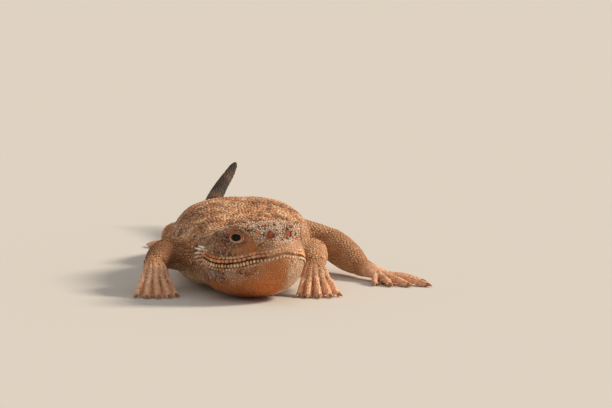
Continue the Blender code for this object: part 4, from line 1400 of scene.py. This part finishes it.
def lie_directions(points, labels):
    """Which way scales point: back along the body, out along limbs and digits."""
    lies = np.zeros((len(points), 3))
    lies[:] = (0, 1, 0)
    back = head_frame().to_3x3() @ Vector((-1, 0, 0))
    lies[chosen_nodes(labels, "head")] = back
    for name in SIDES:
        for chain in (("upper_arm", "forearm", "hand"), ("thigh", "shin", "foot")):
            middles = []
            for kind in chain:
                low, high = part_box(f"{kind}_{name}")
                middles.append((low + high) / 2)
            for i, kind in enumerate(chain[:2]):
                lies[chosen_nodes(labels, f"{kind}_{name}")] = (middles[i + 1] - middles[i]).normalized()
        for kind, joints in (("hand", HANDS), ("foot", FEET)):
            chosen = chosen_nodes(labels, f"{kind}_{name}")
            wrist = np.array(joints[name][1]) * MM
            lies[chosen] = unit(points[chosen] - wrist)
    return lies


def pitch_at(points, labels):
    """The distance between neighbouring scales at each point."""
    scales = settings("agama_scales")
    pitch = np.full(len(points), scales.trunk)
    pitch[chosen_nodes(labels, "head")] = scales.head
    pitch[chosen_nodes(labels, "neck")] = (scales.head + scales.trunk) / 2
    pitch[chosen_nodes(labels, "tail")] = scales.tail
    pitch[chosen_nodes(labels, "upper_arm", "forearm", "thigh", "shin")] = scales.limb
    pitch[chosen_nodes(labels, "hand", "foot")] = scales.digit
    pitch[chosen_nodes(labels, "tail_tip")] *= 0.8
    for name in SIDES:
        distance = eye_distance(points, EyePlace(name))
        near_eye = scales.lid + (scales.head - scales.lid) * step(2 * MM, 6 * MM, distance)
        pitch = np.minimum(pitch, near_eye + 10 * MM * step(6 * MM, 9 * MM, distance))
    return pitch


def spread_evenly(roots, pitch, tree, rounds):
    """Pushes roots about a pitch apart, always on the skin, and gives its normals there."""
    places = [Vector(root) for root in roots]
    normals = None
    reaches = (1.12 * pitch).tolist()
    for _ in range(rounds):
        near = kdtree.KDTree(len(places))
        for i, place in enumerate(places):
            near.insert(place, i)
        near.balance()
        moved = []
        for place, reach in zip(places, reaches):
            push = Vector()
            for other, _, distance in near.find_range(place, reach):
                if distance > 0:
                    push += (place - other) * (reach / distance - 1)
            moved.append(place + push * 0.3)
        nearest = [tree.find_nearest(place) for place in moved]
        places = [found[0] for found in nearest]
        normals = [found[1] for found in nearest]
    return np.array([list(place) for place in places]), np.array([list(normal) for normal in normals])


def scatter(skin, name_of, tree):
    """Roots spread evenly over the skin, each its own pitch from the next, with normals and node numbers."""
    rng = np.random.default_rng(SEED)
    points = points_of(skin.data)
    corners = triangles_of(skin.data)
    one, two, three = (points[corners[:, i]] for i in range(3))
    cross = np.cross(two - one, three - one)
    areas = np.linalg.norm(cross, axis=1) / 2
    middles = (one + two + three) / 3
    labels = name_of(middles)
    pitch = pitch_at(middles, labels)
    weights = areas / pitch**2
    tries = int(10 * weights.sum())
    faces = rng.choice(len(corners), tries, p=weights / weights.sum())
    u, v = rng.random(tries), rng.random(tries)
    over = u + v > 1
    u[over], v[over] = 1 - u[over], 1 - v[over]
    places = one[faces] + (two - one)[faces] * u[:, None] + (three - one)[faces] * v[:, None]
    near = kdtree.KDTree(tries)
    for i, place in enumerate(places):
        near.insert(place, i)
    near.balance()
    alive = np.ones(tries, bool)
    kept = []
    for i in range(tries):
        if alive[i]:
            kept.append(i)
            for _, other, _ in near.find_range(places[i], 0.78 * pitch[faces[i]]):
                alive[other] = False
    kept = np.array(kept)
    pitch = pitch[faces[kept]]
    roots, normals = spread_evenly(places[kept], pitch, tree, settings("agama_scales").relaxing)
    return roots, normals, name_of(roots), pitch


def open_skin(roots, labels, tree):
    """Which roots are clear of the eyes, nostrils, lips and claws."""
    clear = np.ones(len(roots), bool)
    for name in SIDES:
        spread, front = EyePlace(name).place(roots)
        near = np.linalg.norm(roots - np.array(EyePlace(name).centre), axis=1) < 6 * MM
        clear &= ~(near & front & (spread < 1.5))
    for side in SIDES.values():
        clear &= NostrilPlace(side, tree).spread(roots) > 1.25
    line, _ = mouth_line(tree, 0.45 * MM)
    distances = distance_to(line)(roots, chosen_nodes(labels, "head"))
    smooth_lip = step(24.0, 26.0, in_head(roots)[:, 0])
    clear &= distances > (1.35 - 0.45 * smooth_lip) * MM
    tips = chosen_nodes(labels, "hand", "foot")
    for digit in all_digits():
        past, off = digit.beyond(roots)
        clear &= ~(tips & (past > 0) & (past < 5 * MM) & (off < 2 * MM))
    return clear


class OBJECT_OT_agama_scales(bpy.types.Operator):
    """Covers the skin with scales: keeled ones on body, tail and limbs, beads on the head"""

    bl_idname = "object.agama_scales"
    bl_label = "Scales"

    def execute(self, context):
        skin = bpy.data.objects["skin"]
        tree = tree_of(skin)
        name_of = node_finder()
        roots, normals, labels, pitch = scatter(skin, name_of, tree)
        clear = open_skin(roots, labels, tree)
        clear &= roots[:, 2] > 0.12 * MM
        roots, normals, labels, pitch = roots[clear], normals[clear], labels[clear], pitch[clear]
        rng = np.random.default_rng(SEED + 1)
        chance = rng.random(len(roots))
        lies = lie_directions(roots, labels)
        lies += rng.normal(0, 0.12, lies.shape)
        lies = unit(lies - normals * (lies * normals).sum(1, keepdims=True))
        across = np.cross(lies, normals)
        size = pitch * rng.uniform(0.88, 1.12, len(roots))
        keeled = modelled_scale(6, 0.74, 0.55)
        bead = modelled_scale(6, 0.66, 0.12)
        tubercle = modelled_scale(6, 0.6, 0.3, 0.7)
        upper = normals[:, 2] > -0.2
        torso = chosen_nodes(labels, "torso", "neck")
        front = roots[:, 1] < 2 * MM
        head = chosen_nodes(labels, "head")
        rough = head & (in_head(roots)[:, 2] > 18.4) & (brow_patch(roots) < 0.5)
        size[rough] *= rng.uniform(0.85, 1.3, rough.sum())
        flatness = 1 - 0.5 * brow_patch(roots) * head
        groups = {
            "crown_scales": (rough, tubercle, (0.6, 0.62, 0.62)),
            "head_scales": (head & ~rough, bead, (0.6, 0.62, 0.45)),
            "back_front_scales": (torso & upper & front, keeled, (0.6, 0.7, 0.42)),
            "back_rear_scales": (torso & upper & ~front, keeled, (0.6, 0.7, 0.42)),
            "belly_scales": (torso & ~upper, keeled, (0.6, 0.68, 0.22)),
            "tail_scales": (chosen_nodes(labels, "tail"), keeled, (0.58, 0.76, 0.46)),
            "arm_scales": (chosen_nodes(labels, "upper_arm", "forearm"), keeled, (0.6, 0.7, 0.3)),
            "leg_scales": (chosen_nodes(labels, "thigh", "shin"), keeled, (0.6, 0.7, 0.3)),
            "hand_scales": (chosen_nodes(labels, "hand"), keeled, (0.6, 0.66, 0.28)),
            "foot_scales": (chosen_nodes(labels, "foot"), keeled, (0.6, 0.66, 0.28)),
        }
        for name, (chosen, pattern, shape) in groups.items():
            sizes = size[chosen][:, None] * np.array(shape)
            sizes[:, 2] *= flatness[chosen]
            piece = set_out(
                name, pattern, roots[chosen], across[chosen], lies[chosen], normals[chosen],
                sizes, labels[chosen], chance[chosen],
            )
            finish_piece(piece, coat_material())
        return {"FINISHED"}


def even_places(points, normals):
    """Roots along a row, with its direction along the lip, up it and out of it."""
    roots = np.array([list(point) for point in points])
    out = np.array([list(normal) for normal in normals])
    along = unit(np.gradient(roots, axis=0))
    upward = unit(np.cross(out, along))
    upward *= np.sign(upward[:, 2:3])
    return roots, unit(np.cross(upward, out)), upward, out


class OBJECT_OT_agama_lips(bpy.types.Operator):
    """Sets rows of rounded scutes along both lips, the lower ones like small teeth"""

    bl_idname = "object.agama_lips"
    bl_label = "Lip scutes"

    def execute(self, context):
        head = context.scene.agama_head
        tree = tree_of(bpy.data.objects["skin"])
        rng = np.random.default_rng(SEED + 2)
        # height over the mouth's line and distance between scutes, then a scute's half length and
        # half height as shares of that distance, its rise in millimetres, and its colour zones
        rows = (
            (0.68, head.upper_scute, 0.56, 0.36, 0.26, (0.5, 0.6, 0.0, 0.05)),
            (-0.70, head.lower_scute, 0.43, 0.56, 0.38, (0.0, 1.0, 0.0, 0.0)),
            (1.62, 0.86 * head.upper_scute, 0.56, 0.38, 0.24, (0.45, 0.4, 0.4, 0.05)),
            (-1.74, head.lower_scute, 0.45, 0.42, 0.22, (0.2, 0.45, 0.6, 0.1)),
        )
        parts = []
        for lift, pitch, wide, tall, rise, zones in rows:
            roots, along, upward, out = even_places(*mouth_line(tree, pitch, lift * MM))
            forward = in_head(roots)[:, 0]
            flat = 1 - 0.35 * step(22, 26, forward)
            kept = forward < (26.6 if lift > 0 else 40)
            size = np.stack([wide * pitch * flat**0.5, tall * pitch * flat, rise * MM * flat], axis=1)
            size *= rng.uniform(0.78, 1.1, (len(roots), 1)) * rng.uniform(0.92, 1.06, (len(roots), 3))
            tones = np.array(zones) * rng.uniform(0.4, 1.3, (len(roots), 4))
            if lift > 0:
                tones[:, 0] += 0.3 * (1 - step(11, 17, forward))
                tones[:, 1] += 0.35 * step(14, 19, forward)
            tones = np.clip(tones, 0, 1)
            part = [roots, along, upward, out, size, tones]
            parts.append([values[kept] for values in part])
        roots, along, upward, out, sizes, zones = (np.concatenate(values) for values in zip(*parts))
        labels = np.full(len(roots), FLESH.index("head"))
        chance = rng.uniform(0.1, 0.9, len(roots))
        lips = set_out(
            "lip_scutes", modelled_scute(), roots, along, upward, out, sizes, labels, chance, zones
        )
        finish_piece(lips, coat_material())
        return {"FINISHED"}


def laid_spines(name, rows, width, node, zones, material=coat_material):
    """A piece of spines from rows of root, direction, face and length in millimetres."""
    roots = np.array([row[0] for row in rows])
    lies = np.array([row[1] for row in rows])
    normals = np.array([row[2] for row in rows])
    across = unit(np.cross(lies, normals))
    normals = np.cross(across, lies)
    longs = np.array([row[3] for row in rows]) * MM
    sizes = np.stack([np.full(len(rows), width * MM), longs, np.full(len(rows), 0.6 * width * MM)], axis=1)
    spine = modelled_spine(5, ((0.35, 0.95, 0.0), (0.35, 0.6, 0.02), (0.3, 0.08, 0.1)))
    labels = np.full(len(rows), FLESH.index(node))
    chance = np.random.default_rng(SEED + 5).uniform(0.3, 0.9, len(rows))
    zones = np.broadcast_to(np.array(zones, float), (len(rows), 4))
    piece = set_out(name, spine, roots, across, lies, normals, sizes, labels, chance, zones)
    finish_piece(piece, material())


class OBJECT_OT_agama_fringes(bpy.types.Operator):
    """Sets the pointed scales at the corners of the mouth and along the digits"""

    bl_idname = "object.agama_fringes"
    bl_label = "Fringes"

    def execute(self, context):
        tree = tree_of(bpy.data.objects["skin"])
        self.mouth_fringe(tree)
        self.digit_fringe(tree)
        return {"FINISHED"}

    def mouth_fringe(self, tree):
        """Pointed scales over each folded flap, white and longest at its upper end, the white partly painted
        light.
        """
        find = head_surface(tree)
        turn = head_frame().to_3x3()
        rng = np.random.default_rng(SEED + 3)
        # number of spines, how far forward their row stands, and the longest and shortest, in millimetres
        fringes = ((6, -0.4, 2.9, 1.2), (6, 0.7, 1.4, 0.8), (6, 1.7, 0.9, 0.6))
        rows, zones = [], []
        for side in SIDES.values():
            for count, shift, longest, shortest in fringes:
                for i, place in enumerate(smooth_curve(FLAP, count)):
                    if i == 0 and shift > 0:
                        continue
                    down = i / (count - 1)  # from the flap's upper end to its lower
                    found, normal = find(on_side((Vector(place) + Vector((shift, 0, 0))) * MM, side))
                    lie = Vector((-0.7, side * 0.85, 0.4 - 1.2 * down)) + Vector(rng.normal(0, 0.06, 3))
                    reach = shortest + (longest - shortest) * (1 - down) ** 0.8
                    reach *= rng.uniform(0.85, 1.12)
                    rows.append((found - normal * 0.2 * MM, (turn @ lie).normalized(), normal, reach))
                    # Partly painted light: the spines at the flap's upper end, most of all in the front row,
                    # are made whiter, where they catch the sun
                    white = (1 - float(step(0.2, 0.75, down))) * (1.0 if shift < 0 else 0.35)
                    zones.append((0, 0, 0, 0.1 + 0.9 * white))
        laid_spines("mouth_fringe", rows, 0.42, "head", zones, spine_material)

    def digit_fringe(self, tree):
        """A comb of pointed scales along both edges of each digit."""
        rng = np.random.default_rng(SEED + 4)
        rows = []
        for digit in all_digits():
            longest = 1.2 if digit.is_toe else 0.7
            for outward, count in digit.fringes:
                for share in np.linspace(0.35, 0.97, count) if count else ():
                    place = digit.at(share) + outward * 3 * MM
                    found, _, _, _ = tree.ray_cast(place, -outward)
                    if found is None or (found - place).length > 3.2 * MM:
                        continue
                    lie = outward + digit.heading * 0.6 + UP * 0.05 + Vector(rng.normal(0, 0.06, 3))
                    lie.normalize()
                    reach = longest * (1.1 - 0.35 * share) * rng.uniform(0.85, 1.1)
                    rows.append((found - outward * 0.15 * MM, lie, UP, reach))
        laid_spines("digit_fringe", rows, 0.25, "hand_left", (0.0, 0.8, 0.0, 0.0))


class OBJECT_OT_agama_eyes(bpy.types.Operator):
    """Makes the eyes, their lids' comb of scales and the nostrils' lining"""

    bl_idname = "object.agama_eyes"
    bl_label = "Eyes and nostrils"

    def execute(self, context):
        for name in SIDES:
            self.eyeball(name)
        self.lid_scales()
        self.nostrils()
        return {"FINISHED"}

    def eyeball(self, name):
        """An eyeball with a bulging cornea."""
        place = EyePlace(name)
        deselect_all()
        turn = place.gaze.to_track_quat("Z", "Y").to_euler()
        bpy.ops.mesh.primitive_uv_sphere_add(
            segments=40, ring_count=26, radius=place.radius, location=place.centre, rotation=turn
        )
        eye = bpy.context.object
        bpy.ops.object.transform_apply(location=True, rotation=True)
        eye.name = eye.data.name = f"eyeball_{name}"
        away = points_of(eye.data) - np.array(place.centre)
        off = np.arccos(np.clip(unit(away) @ np.array(place.gaze), -1, 1))
        swell = 1 + 0.06 * (1 - step(0.2, 0.75, off))
        set_points(eye.data, np.array(place.centre) + away * swell[:, None])
        set_attribute(eye.data, "off_gaze", "FLOAT", off)
        finish_piece(eye, bpy.data.materials.get("agama_eye") or eye_material())
        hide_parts(f"eye_{name}")

    def lid_scales(self):
        """Rings of small scales on the lids: a pale comb round the opening, then cool granules."""
        head = settings("agama_head")
        rng = np.random.default_rng(SEED + 6)
        under, over = np.array((0.0, 1.0, 0.0, 0.0)), np.array((0.7, 0.0, 0.2, 0.3))
        rings = ((1.15, 30, 0.28, 1.2, 0.0), (1.42, 34, 0.26, 2.4, 0.15))
        rows, zones = [], []
        for name in SIDES:
            place = EyePlace(name)
            for spread, count, long, lean, dull in rings:
                for i in range(count):
                    turn = 2 * math.pi * i / count
                    point, spoke = place.on_lid(turn, spread, head.lid_radius + 0.02 * MM)
                    out = (point - place.centre).normalized()
                    lie = (out + spoke * lean).normalized()
                    rows.append((point, lie, out, long * rng.uniform(0.85, 1.15)))
                    low = float(step(-0.5, 0.3, -spoke.z))
                    zones.append(under * low * (1 - dull) + over * (1 - low) + (0, 0, dull, 0))
        laid_spines("lid_scales", rows, 0.22, "head", np.clip(zones, 0, 1))

    def nostrils(self):
        """A low moist dome at the bottom of each nostril."""
        head = settings("agama_head")
        tree = tree_of(bpy.data.objects["skin"])
        deselect_all()
        made = []
        for side in SIDES.values():
            place = NostrilPlace(side, tree)
            facing = np.array(place.facing)
            centre = place.centre - place.facing * 0.14 * MM
            bpy.ops.mesh.primitive_uv_sphere_add(
                segments=28, ring_count=16, radius=head.nostril_radius * 1.2, location=centre,
                rotation=place.facing.to_track_quat("Z", "Y").to_euler(),
            )
            dome = bpy.context.object
            bpy.ops.object.transform_apply(location=True, rotation=True)
            away = points_of(dome.data) - np.array(centre)
            height = away @ facing
            flat = away - height[:, None] * facing
            off = np.linalg.norm(flat, axis=1) / head.nostril_radius
            set_points(dome.data, np.array(centre) + flat + height[:, None] * 0.35 * facing)
            set_attribute(dome.data, "off_gaze", "FLOAT", off)
            made.append(dome)
        deselect_all()
        for dome in made:
            dome.select_set(True)
        bpy.context.view_layer.objects.active = made[0]
        bpy.ops.object.join()
        made[0].name = made[0].data.name = "nostrils"
        finish_piece(made[0], nostril_material())


class OBJECT_OT_agama_claws(bpy.types.Operator):
    """Puts a curved claw on every digit"""

    bl_idname = "object.agama_claws"
    bl_label = "Claws"

    def execute(self, context):
        digits = all_digits()
        stages = ((0.3, 0.86, 0.0), (0.28, 0.62, 0.12), (0.24, 0.36, 0.3), (0.18, 0.06, 0.42))
        claw = modelled_spine(10, stages)
        roots = np.array([digit.at(1.0) - digit.heading * 0.35 * MM for digit in digits])
        lies = np.array([digit.heading for digit in digits])
        normals = np.tile((0.0, 0.0, 1.0), (len(digits), 1))
        across = np.cross(lies, normals)
        claw_length = 2.6 * MM
        width = np.array([0.62 if digit.is_toe else 0.55 for digit in digits]) * MM
        sizes = np.stack([width, np.full(len(digits), claw_length), width], axis=1)
        labels = np.full(len(digits), FLESH.index("hand_left"))
        chance = np.full(len(digits), 0.5)
        piece = set_out("claws", claw, roots, across, lies, normals, sizes, labels, chance)
        finish_piece(piece, horn_material())
        return {"FINISHED"}


class OBJECT_OT_agama_stage(bpy.types.Operator):
    """Sets the floor, the soft lights and the camera"""

    bl_idname = "object.agama_stage"
    bl_label = "Stage"

    def execute(self, context):
        stage = context.scene.agama_stage
        deselect_all()
        bpy.ops.mesh.primitive_plane_add(size=6.0, location=(0, 0, 0))
        floor = context.object
        floor.name = "floor"
        f = Finish("plain_floor")
        f.shader.inputs["Base Color"].default_value = stage.floor
        f.shader.inputs["Roughness"].default_value = 0.9
        floor.data.materials.append(f.material)

        lamp = bpy.data.lights.new("key", "SUN")
        lamp.energy = stage.key_strength
        lamp.angle = stage.key_softness
        lamp.color = stage.key_colour[:3]
        key = bpy.data.objects.new("key", lamp)
        level = math.cos(stage.key_height)
        towards = Vector((math.sin(stage.key_turn) * level, -math.cos(stage.key_turn) * level, 0))
        towards.z = math.sin(stage.key_height)
        key.location = towards
        key.rotation_euler = (-towards).to_track_quat("-Z", "Y").to_euler()
        context.scene.collection.objects.link(key)

        world = bpy.data.worlds.new("soft_sky")
        world.use_nodes = True
        background = world.node_tree.nodes["Background"]
        background.inputs["Color"].default_value = stage.sky_colour
        background.inputs["Strength"].default_value = stage.sky
        context.scene.world = world

        camera = bpy.data.objects.new("camera", bpy.data.cameras.new("camera"))
        context.scene.collection.objects.link(camera)
        back = Vector((0, -math.cos(stage.elevation), math.sin(stage.elevation)))
        camera.location = Vector(stage.target) + back * stage.distance
        camera.rotation_euler = (-back).to_track_quat("-Z", "Y").to_euler()
        camera.data.lens = stage.lens
        camera.data.clip_start = 0.05
        context.scene.camera = camera
        context.scene.view_settings.view_transform = "Standard"
        return {"FINISHED"}


class VIEW3D_PT_agama(bpy.types.Panel):
    """The steps that dress the agama, and their sizes"""

    bl_idname = "VIEW3D_PT_agama"
    bl_label = "Toadhead agama"
    bl_space_type = "VIEW_3D"
    bl_region_type = "UI"
    bl_category = "Agama"

    def draw(self, context):
        for group in GROUPS:
            box = self.layout.box()
            values = getattr(context.scene, group)
            for name in values.__annotations__:
                box.prop(values, name)
        for operator in OPERATORS:
            self.layout.operator(operator.bl_idname)


GROUPS = {
    "agama_head": AgamaHead,
    "agama_skin": AgamaSkin,
    "agama_scales": AgamaScales,
    "agama_colours": AgamaColours,
    "agama_stage": AgamaStage,
}
OPERATORS = (
    OBJECT_OT_agama_skin,
    OBJECT_OT_agama_scales,
    OBJECT_OT_agama_lips,
    OBJECT_OT_agama_fringes,
    OBJECT_OT_agama_eyes,
    OBJECT_OT_agama_claws,
    OBJECT_OT_agama_stage,
)


def register():
    for cls in (*GROUPS.values(), *OPERATORS, VIEW3D_PT_agama):
        bpy.utils.register_class(cls)
    for name, group in GROUPS.items():
        setattr(bpy.types.Scene, name, PointerProperty(type=group))


def unregister():
    for name in GROUPS:
        delattr(bpy.types.Scene, name)
    for cls in reversed((*GROUPS.values(), *OPERATORS, VIEW3D_PT_agama)):
        bpy.utils.unregister_class(cls)


def main():
    """Dresses the agama, step by step."""
    register()
    bpy.ops.object.agama_skin()
    bpy.ops.object.agama_scales()
    bpy.ops.object.agama_lips()
    bpy.ops.object.agama_fringes()
    bpy.ops.object.agama_eyes()
    bpy.ops.object.agama_claws()
    bpy.ops.object.agama_stage()


if __name__ == "__main__":
    main()
